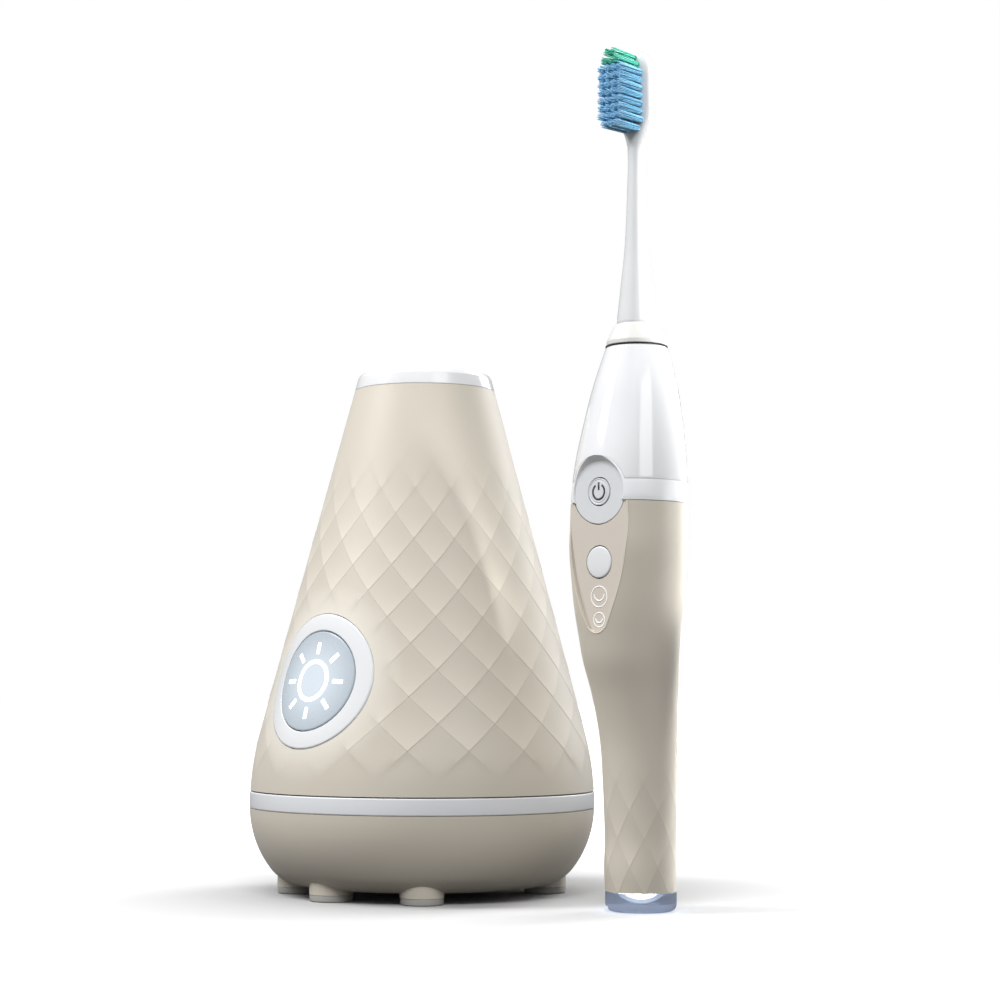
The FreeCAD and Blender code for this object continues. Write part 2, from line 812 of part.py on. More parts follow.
def make_inlet():
    z, width, bore = at("inlet_z"), at("inlet_width"), at("inlet_bore_radius")
    front, back, face = at("inlet_front"), at("inlet_back"), at("inlet_face")
    depth = at("inlet_bore_depth")
    housing = block(width, back - front, width, 0, front, z - width / 2)
    snout = cylinder(at("inlet_snout_radius"), face - back, 0, back, z, TO_BACK)
    hollow = cylinder(bore, depth, 0, face - depth, z, TO_BACK)
    station("power_inlet", cut(fuse([housing, snout]), hollow))
    station("inlet_pin", cylinder(at("inlet_pin_radius"), at("inlet_pin_length"), 0, face - depth, z, TO_BACK))


def make_leads():
    """Leads clipped inside the casing. Their routes are chosen points in the station's frame."""
    radius = at("lead_radius").value
    start, z = at("inlet_front").value, at("inlet_z").value
    rise = at("lead_slot_y").value
    routes = [[(x, start, z), (x, rise, z), (x, rise, at("main_board_z").value)] for x in (2.4, -2.4)]
    thing = doc.addObject("Part::Feature", "Leads")
    thing.Shape = Part.makeCompound([lead(route, radius) for route in routes])
    station("inlet_leads", thing)


# ---- station: button ---------------------------------------------------------------------------


def make_button():
    proud, lens, gap = at("bezel_proud"), at("lens_radius"), at("lens_gap")
    wall, thick = at("shell_wall"), at("lens_thick")
    ring = cut(button_tool(at("bezel_radius"), 12, 20), button_tool(lens + gap, 12, 20))
    skin = cut(cone_form(proud), cone_form(-wall))
    station("button_bezel", common(ring, skin))
    disc = common(button_tool(lens, 12, 20), cut(cone_form(proud), cone_form(proud - thick)))
    symbol = common(symbol_tool(), cut(cone_form(proud), cone_form(proud - at("inlay_depth"))))
    station("button_lens", cut(disc, symbol))
    station("button_symbol", common(symbol_tool(), cut(cone_form(proud), cone_form(proud - at("inlay_depth")))))
    station("button_plunger", make_plunger())
    guide = cut(button_tool(at("guide_radius"), at("guide_depth"), at("guide_depth")),
                button_tool(lens + gap, at("guide_depth"), REACH))
    station("button_guide", common(guide, cone_form(-wall)))


def make_plunger():
    """A post behind the lens, trimmed to the lens's curved back."""
    post = button_tool(at("plunger_radius"), at("plunger_depth"), at("plunger_depth"))
    return common(post, cone_form(at("bezel_proud") - at("lens_thick")))


def symbol_tool():
    """A plain lamp symbol, a ring with short rays, cut square to the casing."""
    radius, stroke = at("symbol_radius"), at("symbol_stroke")
    ring = cut(button_tool(radius + stroke / 2, 6, 12), button_tool(radius - stroke / 2, 6, 12))
    tilt = at("button_tilt").value
    lean = FreeCAD.Rotation(FreeCAD.Vector(1, 0, 0), 90 - tilt)
    middle = FreeCAD.Vector(0, -at("button_surface").value, at("button_z").value)
    rays = []
    for i in range(SYMBOL_RAYS):
        ray = block(stroke, at("symbol_ray_length"), 12)
        ray.setExpression(".Placement.Base.x", None)
        spin = FreeCAD.Rotation(FreeCAD.Vector(0, 0, 1), 360 * i / SYMBOL_RAYS)
        start = FreeCAD.Vector(-stroke.value / 2, at("symbol_ray_start").value, -6)
        ray.Placement = FreeCAD.Placement(middle + (lean * spin).multVec(start), lean * spin)
        rays.append(ray)
    return fuse([ring, *rays])


def tilted_block(size, height, depth, across=0, along=0):
    """A square block on the button's axis whose outer face is at a depth below the casing."""
    tilt = at("button_tilt").value
    lean = FreeCAD.Rotation(FreeCAD.Vector(1, 0, 0), 90 - tilt)
    thing = doc.addObject("Part::Box", "Box")
    for prop, value in (("Length", size), ("Width", size), ("Height", height)):
        bind(thing, prop, value)
    half = as_size(size).value / 2
    start = FreeCAD.Vector(across - half, along - half, -as_size(depth).value - as_size(height).value)
    middle = FreeCAD.Vector(0, -at("button_surface").value, at("button_z").value)
    thing.Placement = FreeCAD.Placement(middle + lean.multVec(start), lean)
    own_offsets[thing.Name] = [as_size(thing.Placement.Base.x), as_size(thing.Placement.Base.y)]
    return thing


def make_button_board():
    depth, thick = at("button_board_depth"), at("board_thick")
    station("button_board", button_tool(at("lens_radius") + at("lens_gap"), depth + thick, thick))
    switch, height = at("switch_size"), at("switch_height")
    station("button_switch", tilted_block(switch, height, depth - height))
    leds = []
    for i in range(6):
        turn = math.radians(60 * i)
        leds.append(tilted_block(at("led_size"), at("led_height"), depth - at("led_height"),
                                 9.5 * math.cos(turn), 9.5 * math.sin(turn)))
    station("button_leds", group(leds))


# ---- toothbrush: handle ------------------------------------------------------------------------


def handle_form(grow=0):
    """The handle's outer form from its foot to its neck, grown by an offset. Equal offsets share one form."""
    grow = as_size(grow)
    if grow.formula not in handle_forms:
        sections = [(at(f"handle{i}_height"), at(f"handle{i}_radius"), at(f"handle{i}_forward"))
                    for i in range(len(HANDLE_SECTIONS))]
        handle_forms[grow.formula] = loft(sections, grow)
    return handle_forms[grow.formula]


def slab(low, high):
    """Everything between two heights around the handle."""
    return cylinder(REACH, as_size(high) - low, 0, 0, low)


def front_tool(radius, z):
    """A cylinder along Y through the handle's front wall."""
    return cylinder(radius, REACH, 0, -at("front_cut_start"), z, TO_FRONT)


def handle_wall_between(low, high):
    return common(cut(handle_form(), handle_form(-at("handle_wall"))), slab(low, high))


def panel_tool():
    """The drop-shaped control panel's outline, as a prism through the handle's front wall."""
    half, tip = at("panel_top_half"), at("panel_tip_half")
    top, low = at("shell_split_z"), at("panel_tip_z")
    prism = padded([
        (-half, top),
        (-tip, low, at("panel_side_bend")),
        (tip, low, at("panel_tip_bend")),
        (half, top, at("panel_side_bend")),
    ], REACH)
    return prism


def make_handle_shells():
    pad = at("pad_radius")
    grip = handle_wall_between(at("handle_low_z"), at("shell_split_z"))
    brush("grip_shell", cut(grip, front_tool(pad, at("pad_z")), panel_tool()))
    upper = handle_wall_between(at("collar_top_z"), at("handle_top_z"))
    brush("upper_housing", cut(upper, front_tool(pad, at("pad_z"))))


def front_layer(front, thick):
    """A flat layer across the handle, with its front face at a distance in front of the axis."""
    return block(2 * REACH, thick, at("handle_top_z"), 0, -as_size(front))


def pad_pocket():
    """The round recess over the pad: its upper wall slopes back, its lower wall stands square."""
    circles = []
    for step in (0, 3):
        grow = at("pad_slope") * (step - 1)
        circle = doc.addObject("Part::Circle", "PadCircle")
        bind(circle, "Radius", at("pad_radius") + grow)
        put(circle, 0, -at("control_face") - at("pad_floor") * step, at("pad_z") + grow, TO_FRONT)
        circles.append(circle)
    pocket = doc.addObject("Part::Loft", "PadPocket")
    pocket.Sections = circles
    pocket.Solid = True
    pocket.Ruled = True
    return pocket


def make_control_collar():
    """A band round the handle that carries a flat round pad, sunk into the housing above it."""
    low, pad, floor = at("shell_split_z"), at("pad_radius"), at("pad_floor") - at("control_face")
    rim = common(front_tool(pad, at("pad_z")), slab(low, at("handle_top_z")))
    disc = cylinder(pad, at("pad_floor"), 0, floor, at("pad_z"), TO_FRONT)
    outside = common(handle_form(), fuse([slab(low, at("collar_top_z")), rim, disc]))
    inside = cut(handle_form(-at("handle_wall")), cylinder(pad, REACH, 0, floor, at("pad_z"), TO_FRONT))
    hole = front_tool(at("power_radius") + at("button_clearance"), at("power_z"))
    brush("control_collar", cut(outside, inside, pad_pocket(), hole))


def push_button(radius, proud, z):
    """A flat button that stands a little proud of the controls' face, just in front of its switch."""
    back = at("handle_board_front") + at("handle_switch_depth") + at("stem_gap")
    return cylinder(radius, at("control_face") + proud - back, 0, -back, z, TO_FRONT)


def power_symbol_tool():
    """A broken ring with a short bar at its top."""
    ring, stroke, z = at("power_ring"), at("power_stroke"), at("power_z")
    hoop = cut(front_tool(ring + stroke / 2, z), front_tool(ring - stroke / 2, z))
    gap = block(stroke * 3, 24, ring * 2, 0, -30, z)
    bar = block(stroke, 24, ring * 1.2, 0, -30, z + ring * 0.15)
    return fuse([cut(hoop, gap), bar])


def make_handle_buttons():
    proud, depth, face = at("power_proud"), at("inlay_depth"), at("control_face")
    symbol = common(power_symbol_tool(), front_layer(face + proud, depth))
    brush("power_button", cut(push_button(at("power_radius"), proud, at("power_z")), symbol))
    brush("power_symbol", common(power_symbol_tool(), front_layer(face + proud, depth)))
    brush("mode_button", push_button(at("mode_radius"), at("mode_proud"), at("mode_z")))
    plate = common(panel_tool(), front_layer(face, at("panel_thick")))
    hole = front_tool(at("mode_radius") + at("button_clearance"), at("mode_z"))
    icons = common(mode_icon_tool(), front_layer(face, depth))
    brush("control_panel", cut(plate, front_tool(at("pad_radius"), at("pad_z")), hole, icons))
    brush("mode_icons", common(mode_icon_tool(), front_layer(face, depth)))


def mode_icon_tool():
    """Two plain level marks: rings with a bar across, the lower one smaller."""
    stroke = at("icon_stroke")
    marks = []
    for size in ("large", "small"):
        radius, z = at(f"icon_{size}_radius"), at(f"icon_{size}_z")
        marks.append(cut(front_tool(radius, z), front_tool(radius - stroke, z)))
        marks.append(block(radius, 24, stroke, 0, -30, z - stroke / 2))
    return group(marks)


def make_end_cap():
    radius, bend, top = at("cap_radius"), at("cap_edge_bend"), at("handle_low_z")
    wall, plug = at("cap_wall"), at("cap_plug_radius")
    width, drop = at("dome_width"), at("dome_drop")
    dome_bend = (width * width + drop * drop) / (drop * 2)
    brush("end_cap", revolved([
        (0, 0),
        (radius - bend, 0),
        (radius, bend, bend),
        (radius, top),
        (plug, top),
        (plug, at("cap_plug_top_z")),
        (plug - wall, at("cap_plug_top_z")),
        (plug - wall, top),
        (width, top),
        (0, top - drop, -dome_bend),
    ]))
    brush("status_dome", revolved([
        (0, top - drop),
        (width, top, dome_bend),
        (width, top + 1.2),
        (0, top + 1.2),
    ]))
    brush("cap_seal", tube(plug + 0.35, plug, 1.0, 0, 0, at("cap_plug_top_z") - 1.6))


def make_handle_works():
    neck = -at("neck_forward")
    brush("battery", cylinder(at("battery_radius"), at("battery_length"), 0, 0, at("battery_low_z")))
    brush("motor", cylinder(at("motor_radius"), at("motor_length"), 0, neck, at("motor_low_z")))
    board_y = -at("handle_board_front")
    brush("handle_board", block(at("handle_board_width"), at("board_thick"), at("handle_board_length"),
                                0, board_y, at("handle_board_low_z")))
    switches = []
    for z in (at("power_z"), at("mode_z")):
        depth = at("handle_switch_depth")
        switches.append(block(4.4, depth, 4.4, 0, board_y - depth, z - 2.2))
    brush("handle_switches", group(switches))
    brush("receiver_coil", tube(at("receiver_radius"), at("receiver_radius") - at("receiver_wall"),
                                at("receiver_height"), 0, -at("receiver_forward"), at("receiver_low_z")))
    gland = common(handle_form(-at("handle_wall")), slab(at("gland_low_z"), at("handle_top_z")))
    brush("shaft_gland", cut(gland, cylinder(at("shaft_radius") + at("shaft_clearance"), 20, 0, neck, 140)))
    brush("neck_seal", cut(cylinder(at("neck_seal_radius"), at("neck_seal_height"), 0, neck, at("handle_top_z")),
                           cylinder(at("shaft_radius") + 0.5, 4, 0, neck, 154)))
    shaft_low = at("motor_low_z") + at("motor_length") + 0.3
    brush("drive_shaft", cylinder(at("shaft_radius"), at("shaft_top_z") - shaft_low, 0, neck, shaft_low))


# ---- toothbrush: removable head ----------------------------------------------------------------


def make_head():
    neck = -at("neck_forward")
    bore = cylinder(at("shaft_radius") + 0.02, at("shaft_top_z") - 150 + 0.2, 0, neck, 150)
    foot_radius = at("stem_foot_radius")
    ring = revolved([
        (0, at("ring_low_z")),
        (at("ring_low_radius"), at("ring_low_z")),
        (at("ring_top_radius"), at("ring_top_z")),
        (0, at("ring_top_z")),
    ])
    put(ring, 0, neck, 0)
    core = cylinder(foot_radius - 1.2, 8, 0, neck, at("ring_low_z") - 0.5)
    brush("colour_ring", cut(ring, core))
    sections = [(at(f"stem{i}_height"), at(f"stem{i}_radius"), at("neck_forward")) for i in range(len(STEM_SECTIONS))]
    spigot = cylinder(foot_radius - 1.2, at("ring_top_z") - at("ring_low_z") + 1, 0, neck, at("ring_low_z"))
    stem = cut(fuse([loft(sections, as_size(0)), spigot, head_plate()]), bore)
    make_tufts(stem)


def head_plate():
    """The head: an oval plate whose edges are rounded."""
    low, high, half = at("head_low_z"), at("head_top_z"), at("head_half_width")
    shoulder = half * 1.1
    plate = padded([
        (half * 0.55, low),
        (half, low + shoulder * 1.3, at("head_half_width") * 2.2),
        (half, high - half),
        (0, high, half),
        (-half, high - half, half),
        (-half, low + shoulder * 1.3),
        (-half * 0.55, low, at("head_half_width") * 2.2),
    ], at("head_thick"))
    doc.recompute()
    pad = [step for step in plate.Group if step.TypeId == "PartDesign::Pad"][0]
    flat = [f"Face{i}" for i, face in enumerate(pad.Shape.Faces, start=1)
            if abs(face.normalAt(0, 0).y) > 0.9 and face.Area > 60]
    rounded = plate.newObject("PartDesign::Fillet", "Fillet")
    rounded.Base = (pad, flat)
    bind(rounded, "Radius", at("head_round"))
    plate.Tip = rounded
    return put(plate, 0, at("head_thick") / 2 - at("neck_forward"), 0)


def tuft_row(count, z):
    """One row of tufts across the head."""
    face = -at("neck_forward") - at("head_thick") / 2 + 1.0
    tufts = []
    for i in range(count):
        x = at("tuft_column") * (i - (count - 1) / 2)
        tufts.append(cylinder(at("tuft_radius"), at("tuft_length") + 1.0, x, face, z, TO_FRONT))
    return tufts


def make_tufts(stem):
    """The tufts, and the stem with a socket for each of them."""
    main, tip = [], []
    for row, count in enumerate(TUFTS_PER_ROW + TIP_TUFTS_PER_ROW):
        z = at("tuft_low_z") + at("tuft_pitch") * row
        (main if row < len(TUFTS_PER_ROW) else tip).extend(tuft_row(count, z))
    brush("brush_stem", cut(stem, fuse(main + tip)))
    brush("tufts_main", group(main))
    brush("tufts_tip", group(tip))


def build():
    make_outer_shell()
    make_trim_band()
    make_lower_bowl()
    make_feet()
    make_bowl_screws()
    make_top_rim()
    make_dock_sleeve()
    make_chamber()
    make_lamps()
    make_charging_coil()
    make_chassis()
    make_fan()
    make_main_board()
    make_inlet()
    make_leads()
    make_button()
    make_button_board()
    make_handle_shells()
    make_control_collar()
    make_handle_buttons()
    make_end_cap()
    make_handle_works()
    make_head()


def check_and_export():
    """Stops on any failed object or bad shape, then writes each sub-part's STEP file."""
    doc.recompute()
    failed = [f"{o.Label}: {o.State}" for o in doc.Objects if "Invalid" in o.State or "Error" in o.State]
    if failed:
        raise RuntimeError("failed objects: " + "; ".join(failed))
    os.makedirs("parts", exist_ok=True)
    for name, thing in nodes.items():
        shape = thing.Shape
        if shape.isNull() or not shape.isValid() or not shape.Solids:
            raise RuntimeError(f"{name} has no valid solid")
        box = shape.BoundBox
        print(f"{name:18s} solids {len(shape.Solids):3d} volume {shape.Volume:10.1f}  "
              f"x {box.XMin:7.2f} {box.XMax:7.2f}  y {box.YMin:7.2f} {box.YMax:7.2f}  z {box.ZMin:7.2f} {box.ZMax:7.2f}")
        shape.exportStep(os.path.join("parts", f"{name}.step"))


build()
check_and_export()
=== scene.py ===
import json
import math

import bmesh
import bpy
import numpy as np
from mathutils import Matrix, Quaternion, Vector
from mathutils.bvhtree import BVHTree


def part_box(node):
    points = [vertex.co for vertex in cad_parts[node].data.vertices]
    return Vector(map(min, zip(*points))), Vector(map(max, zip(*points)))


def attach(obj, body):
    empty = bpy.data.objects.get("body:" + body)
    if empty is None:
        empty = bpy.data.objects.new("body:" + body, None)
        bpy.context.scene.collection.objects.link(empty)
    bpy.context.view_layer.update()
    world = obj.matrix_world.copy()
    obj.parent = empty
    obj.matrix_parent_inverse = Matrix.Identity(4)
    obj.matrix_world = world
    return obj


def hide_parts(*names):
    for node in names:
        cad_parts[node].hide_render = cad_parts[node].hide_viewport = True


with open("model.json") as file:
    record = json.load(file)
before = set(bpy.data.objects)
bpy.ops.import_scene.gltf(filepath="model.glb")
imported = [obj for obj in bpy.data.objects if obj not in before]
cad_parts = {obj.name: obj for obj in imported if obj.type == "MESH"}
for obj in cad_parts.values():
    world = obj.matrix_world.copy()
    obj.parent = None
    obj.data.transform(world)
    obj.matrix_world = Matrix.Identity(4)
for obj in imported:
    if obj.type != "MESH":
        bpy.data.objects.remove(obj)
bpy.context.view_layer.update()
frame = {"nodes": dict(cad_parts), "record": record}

MM = 0.001
station = (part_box("trim_band")[0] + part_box("trim_band")[1]) / 2
brush = (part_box("end_cap")[0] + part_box("end_cap")[1]) / 2
STATION = (station.x, station.y)
BRUSH = (brush.x, brush.y)


def half_width(node):
    """Half the width of a CAD node's box."""
    low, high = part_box(node)
    return (high.x - low.x) / 2


def add_object(name, data):
    thing = bpy.data.objects.new(name, data)
    bpy.context.scene.collection.objects.link(thing)
    return thing


# ---- camera ----

AZIMUTH = math.radians(43.0)
CAMERA_BACK = 662.5 * MM
CAMERA_SIDE = 22.9 * MM
CAMERA_HEIGHT = 60.5 * MM
CAMERA_PITCH = 0.0856
CAMERA_ROLL = 0.0029
CAMERA_LENS = 79.2


def studio(across, away, height):
    """A point given as seen from the camera's side: across to the right, away from it, and up."""
    x = station.x + across * math.cos(AZIMUTH) - away * math.sin(AZIMUTH)
    y = station.y + across * math.sin(AZIMUTH) + away * math.cos(AZIMUTH)
    return Vector((x, y, height))


def make_camera():
    data = bpy.data.cameras.new("camera")
    camera = add_object("camera", data)
    data.lens = CAMERA_LENS
    data.sensor_width = 36
    data.clip_start = 0.01
    camera.location = studio(CAMERA_SIDE, -CAMERA_BACK, CAMERA_HEIGHT)
    aim = studio(CAMERA_SIDE, -CAMERA_BACK + math.cos(CAMERA_PITCH), CAMERA_HEIGHT + math.sin(CAMERA_PITCH))
    camera.rotation_mode = "QUATERNION"
    turn = (aim - camera.location).to_track_quat("-Z", "Y")
    camera.rotation_quaternion = turn @ Quaternion((0, 0, 1), CAMERA_ROLL)
    bpy.context.scene.camera = camera


# ---- materials ----


def shader_of(material):
    return material.node_tree.nodes["Principled BSDF"]


def set_inputs(node, values):
    for name, value in values.items():
        node.inputs[name].default_value = value


def noise(tree, coords, scale, detail=3.0):
    node = tree.nodes.new("ShaderNodeTexNoise")
    set_inputs(node, {"Scale": scale, "Detail": detail})
    tree.links.new(coords, node.inputs["Vector"])
    return node.outputs["Fac"]


def map_range(tree, value, low, high, to_low, to_high):
    node = tree.nodes.new("ShaderNodeMapRange")
    set_inputs(node, {"From Min": low, "From Max": high, "To Min": to_low, "To Max": to_high})
    tree.links.new(value, node.inputs["Value"])
    return node.outputs["Result"]


def tint(tree, fac, dark, light):
    node = tree.nodes.new("ShaderNodeMix")
    node.data_type = "RGBA"
    set_inputs(node, {"A": (*dark, 1), "B": (*light, 1)})
    tree.links.new(fac, node.inputs["Factor"])
    return node.outputs["Result"]


def plastic(name, colour, rough, vary=0.03, grain=2600.0, bump=0.02, coat=0.0, coat_rough=0.05, sheen=0.0,
            metal=0.0, specular=0.5, spread=0.05):
    """Moulded plastic: slight colour drift over the piece, and a fine grain in roughness and relief."""
    material = bpy.data.materials.new(name)
    material.use_nodes = True
    tree, shader = material.node_tree, shader_of(material)
    coords = tree.nodes.new("ShaderNodeTexCoord").outputs["Object"]
    drift = noise(tree, coords, 22.0)
    dark = [c * (1 - vary) for c in colour]
    light = [min(1.0, c * (1 + vary)) for c in colour]
    tree.links.new(tint(tree, drift, dark, light), shader.inputs["Base Color"])
    fine = noise(tree, coords, grain, 2.0)
    roughness = map_range(tree, fine, 0.3, 0.7, rough - spread, rough + spread)
    tree.links.new(roughness, shader.inputs["Roughness"])
    bumped = tree.nodes.new("ShaderNodeBump")
    set_inputs(bumped, {"Strength": bump, "Distance": 0.2 * MM})
    tree.links.new(fine, bumped.inputs["Height"])
    tree.links.new(bumped.outputs["Normal"], shader.inputs["Normal"])
    set_inputs(shader, {"Metallic": metal, "Specular IOR Level": specular, "Coat Weight": coat,
                        "Coat Roughness": coat_rough, "Sheen Weight": sheen, "Sheen Roughness": 0.5})
    return material


def lit(name, colour, strength):
    """A light guide that glows, a little unevenly."""
    material = plastic(name, colour, 0.3)
    tree = material.node_tree
    shader = shader_of(material)
    coords = tree.nodes.new("ShaderNodeTexCoord").outputs["Object"]
    glow = map_range(tree, noise(tree, coords, 300.0), 0.2, 0.8, strength * 0.9, strength * 1.1)
    tree.links.new(glow, shader.inputs["Emission Strength"])
    shader.inputs["Emission Color"].default_value = (0.93, 0.97, 1.0, 1)
    return material


def paint_glow_from(material, centre, near, far, strong, weak, colour):
    """Painted light: emission on a piece that fades with distance from a point on the object."""
    tree = material.node_tree
    shader = shader_of(material)
    coords = tree.nodes.new("ShaderNodeTexCoord").outputs["Object"]
    gap = tree.nodes.new("ShaderNodeVectorMath")
    gap.operation = "DISTANCE"
    gap.inputs[1].default_value = centre
    tree.links.new(coords, gap.inputs[0])
    fade = map_range(tree, gap.outputs["Value"], near, far, strong, weak)
    tree.links.new(fade, shader.inputs["Emission Strength"])
    shader.inputs["Emission Color"].default_value = (*colour, 1)


def pale_tips(material, colour):
    """Bristles fade to a paler colour towards their front ends."""
    tree = material.node_tree
    shader = shader_of(material)
    spread = tree.nodes.new("ShaderNodeSeparateXYZ")
    tree.links.new(tree.nodes.new("ShaderNodeTexCoord").outputs["Object"], spread.inputs[0])
    blend = tree.nodes.new("ShaderNodeMix")
    blend.data_type = "RGBA"
    paler = map_range(tree, spread.outputs["Y"], TUFT_TIP + PALE_LENGTH, TUFT_TIP, 0.0, 0.4)
    tree.links.new(paler, blend.inputs["Factor"])
    tree.links.new(shader.inputs["Base Color"].links[0].from_socket, blend.inputs["A"])
    blend.inputs["B"].default_value = (*colour, 1)
    tree.links.new(blend.outputs["Result"], shader.inputs["Base Color"])


def shade_by_lean(material, colour, dark, light):
    """Painted light and shade on the scales: the colour is darker where a scale sinks and lighter where it
    stands out, by its lean.
    """
    tree = material.node_tree
    lean = tree.nodes.new("ShaderNodeAttribute")
    lean.attribute_name = "lean"
    fac = map_range(tree, lean.outputs["Fac"], -SCALE_SINK, 1 - SCALE_SINK, 0.0, 1.0)
    painted_shading = tint(tree, fac, [c * dark for c in colour], [min(1.0, c * light) for c in colour])
    shader = shader_of(material)
    drift = shader.inputs["Base Color"].links[0].from_socket
    blend = tree.nodes.new("ShaderNodeMix")
    blend.data_type = "RGBA"
    blend.inputs["Factor"].default_value = 0.5
    tree.links.new(drift, blend.inputs["A"])
    tree.links.new(painted_shading, blend.inputs["B"])
    tree.links.new(blend.outputs["Result"], shader.inputs["Base Color"])


# The scales: how far their tips stand out, how fast they rise, and how far their top corners sink.
RELIEF = 0.13 * MM
SCALE_CURVE = 1.7
SCALE_SINK = 0.3

TUFT_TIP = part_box("tufts_main")[0].y
PALE_LENGTH = 2.2 * MM

BEIGE = (0.60, 0.55, 0.468)
soft_beige = plastic("soft_touch_beige", BEIGE, 0.5, vary=0.02, grain=5200.0, bump=0.05, sheen=0.15)
scaled_beige = plastic("scaled_beige", BEIGE, 0.5, vary=0.02, grain=5200.0, bump=0.05, sheen=0.15)
# Painted shade and light on the scales: darker where they sink, lighter where they stand out.
shade_by_lean(scaled_beige, BEIGE, 0.78, 1.3)
panel_beige = plastic("panel_beige", (0.60, 0.545, 0.48), 0.45, vary=0.02, grain=4000.0, bump=0.03)
satin_white = plastic("satin_white", (0.74, 0.75, 0.76), 0.16, vary=0.01, bump=0.0, coat=0.4, spread=0.03)
# Painted shade: a darker copy of the collar's grey, for the flat pad and the power button's face.
pad_grey_painted_shade = plastic("pad_grey_painted_shade", (0.66, 0.675, 0.69), 0.3, vary=0.01, bump=0.0, coat=0.2, spread=0.03)
gloss_white = plastic("gloss_white", (0.74, 0.75, 0.765), 0.12, vary=0.01, bump=0.0, coat=0.6, coat_rough=0.03,
                      spread=0.02)
collar_grey = plastic("collar_grey", (0.80, 0.815, 0.83), 0.38, vary=0.012, bump=0.015)
band_grey = plastic("band_grey", (0.72, 0.735, 0.76), 0.35, vary=0.012, bump=0.01)
lens_grey = plastic("lens_grey", (0.40, 0.45, 0.50), 0.3, vary=0.01, bump=0.0, coat=0.15, coat_rough=0.1)
rubber_black = plastic("rubber_black", (0.012, 0.012, 0.013), 0.5, vary=0.1, bump=0.05)
rubber_grey = plastic("rubber_grey", (0.42, 0.405, 0.38), 0.6, vary=0.03, bump=0.06)
ring_cream = plastic("ring_cream", (0.70, 0.695, 0.665), 0.28, vary=0.01, bump=0.01)
stem_white = plastic("stem_white", (0.68, 0.69, 0.70), 0.15, vary=0.01, bump=0.0, coat=0.4, spread=0.02)
dark_print = plastic("dark_print", (0.05, 0.05, 0.055), 0.4, vary=0.1)
pale_print_painted_glow = plastic("pale_print_painted_glow", (0.95, 0.94, 0.92), 0.4, vary=0.02)
# Painted glow: the pale printed marks give off a little light of their own.
set_inputs(shader_of(pale_print_painted_glow), {"Emission Color": (1, 1, 1, 1), "Emission Strength": 0.08})
inner_white = plastic("inner_white", (0.72, 0.72, 0.71), 0.45, vary=0.02)
mirror_metal = plastic("mirror_metal", (0.80, 0.81, 0.82), 0.12, vary=0.02, metal=1.0, spread=0.04)
steel = plastic("steel", (0.60, 0.61, 0.62), 0.25, vary=0.05, metal=1.0)
copper = plastic("copper_wire", (0.80, 0.42, 0.24), 0.3, vary=0.12, grain=1800.0, bump=0.3, metal=1.0)
board_green = plastic("board_green", (0.03, 0.16, 0.08), 0.35, vary=0.15, grain=900.0, coat=0.3)
black_plastic = plastic("black_plastic", (0.02, 0.02, 0.022), 0.45, vary=0.1, bump=0.05)
battery_wrap = plastic("battery_wrap", (0.10, 0.14, 0.22), 0.35, vary=0.05)
quartz = plastic("quartz", (0.9, 0.95, 1.0), 0.08, vary=0.01, spread=0.02)
set_inputs(shader_of(quartz), {"Transmission Weight": 0.9})
symbol_lit = lit("symbol_lit", (0.95, 0.97, 1.0), 3.0)
dome_lit = lit("dome_lit", (0.95, 0.97, 1.0), 9.0)
led_lit = lit("led_lit", (0.85, 0.88, 1.0), 0.6)
bristle_blue = plastic("bristle_blue", (0.24, 0.60, 1.0), 0.3, vary=0.25, grain=1200.0, bump=0.0)
bristle_green = plastic("bristle_green", (0.08, 0.62, 0.46), 0.3, vary=0.25, grain=1200.0, bump=0.0)
for bristle, pale in ((bristle_blue, (0.62, 0.80, 1.0)), (bristle_green, (0.40, 0.85, 0.70))):
    pale_tips(bristle, pale)
    set_inputs(shader_of(bristle), {"Transmission Weight": 0.1})
cap_clear = plastic("cap_clear", (0.50, 0.56, 0.69), 0.06, vary=0.02, bump=0.0, coat=0.4, spread=0.02)
set_inputs(shader_of(cap_clear), {"Transmission Weight": 0.8, "IOR": 1.15})

MATERIAL_NODES = [
    (scaled_beige, "outer_shell grip_shell"),
    (soft_beige, "lower_bowl"),
    (panel_beige, "control_panel"),
    (satin_white, "top_rim"),
    (gloss_white, "button_bezel upper_housing mode_button"),
    (collar_grey, "control_collar power_button"),
    (band_grey, "trim_band"),
    (lens_grey, "button_lens"),
    (rubber_black, "inlet_leads cap_seal neck_seal"),
    (rubber_grey, "rim_gasket shaft_gland foot_pads"),
    (ring_cream, "colour_ring"),
    (stem_white, "brush_stem"),
    (dark_print, "power_symbol"),
    (pale_print_painted_glow, "mode_icons"),
    (inner_white, "dock_sleeve chassis button_plunger button_guide"),
    (mirror_metal, "uv_chamber"),
    (steel, "fan_screws inlet_pin bowl_screws motor drive_shaft"),
    (copper, "charging_coil receiver_coil"),
    (board_green, "uv_lamp_boards main_board button_board handle_board"),
    (black_plastic, "coil_bobbin fan_frame fan_rotor board_components"),
    (black_plastic, "power_inlet button_switch handle_switches"),
    (battery_wrap, "battery"),
    (quartz, "uv_windows"),
    (symbol_lit, "button_symbol"),
    (dome_lit, "status_dome"),
    (led_lit, "uv_leds button_leds"),
    (bristle_blue, "tufts_main"),
    (bristle_green, "tufts_tip"),
    (cap_clear, "end_cap"),
]


def dress_cad_nodes():
    """Gives every carried-over CAD node its material."""
    for material, names in MATERIAL_NODES:
        for name in names.split():
            carried = frame["nodes"][name].data.materials
            carried.clear()
            carried.append(material)


# ---- mesh helpers ----

node_body = {node: body for body, members in frame["record"]["behaviour"]["bodies"].items() for node in members}


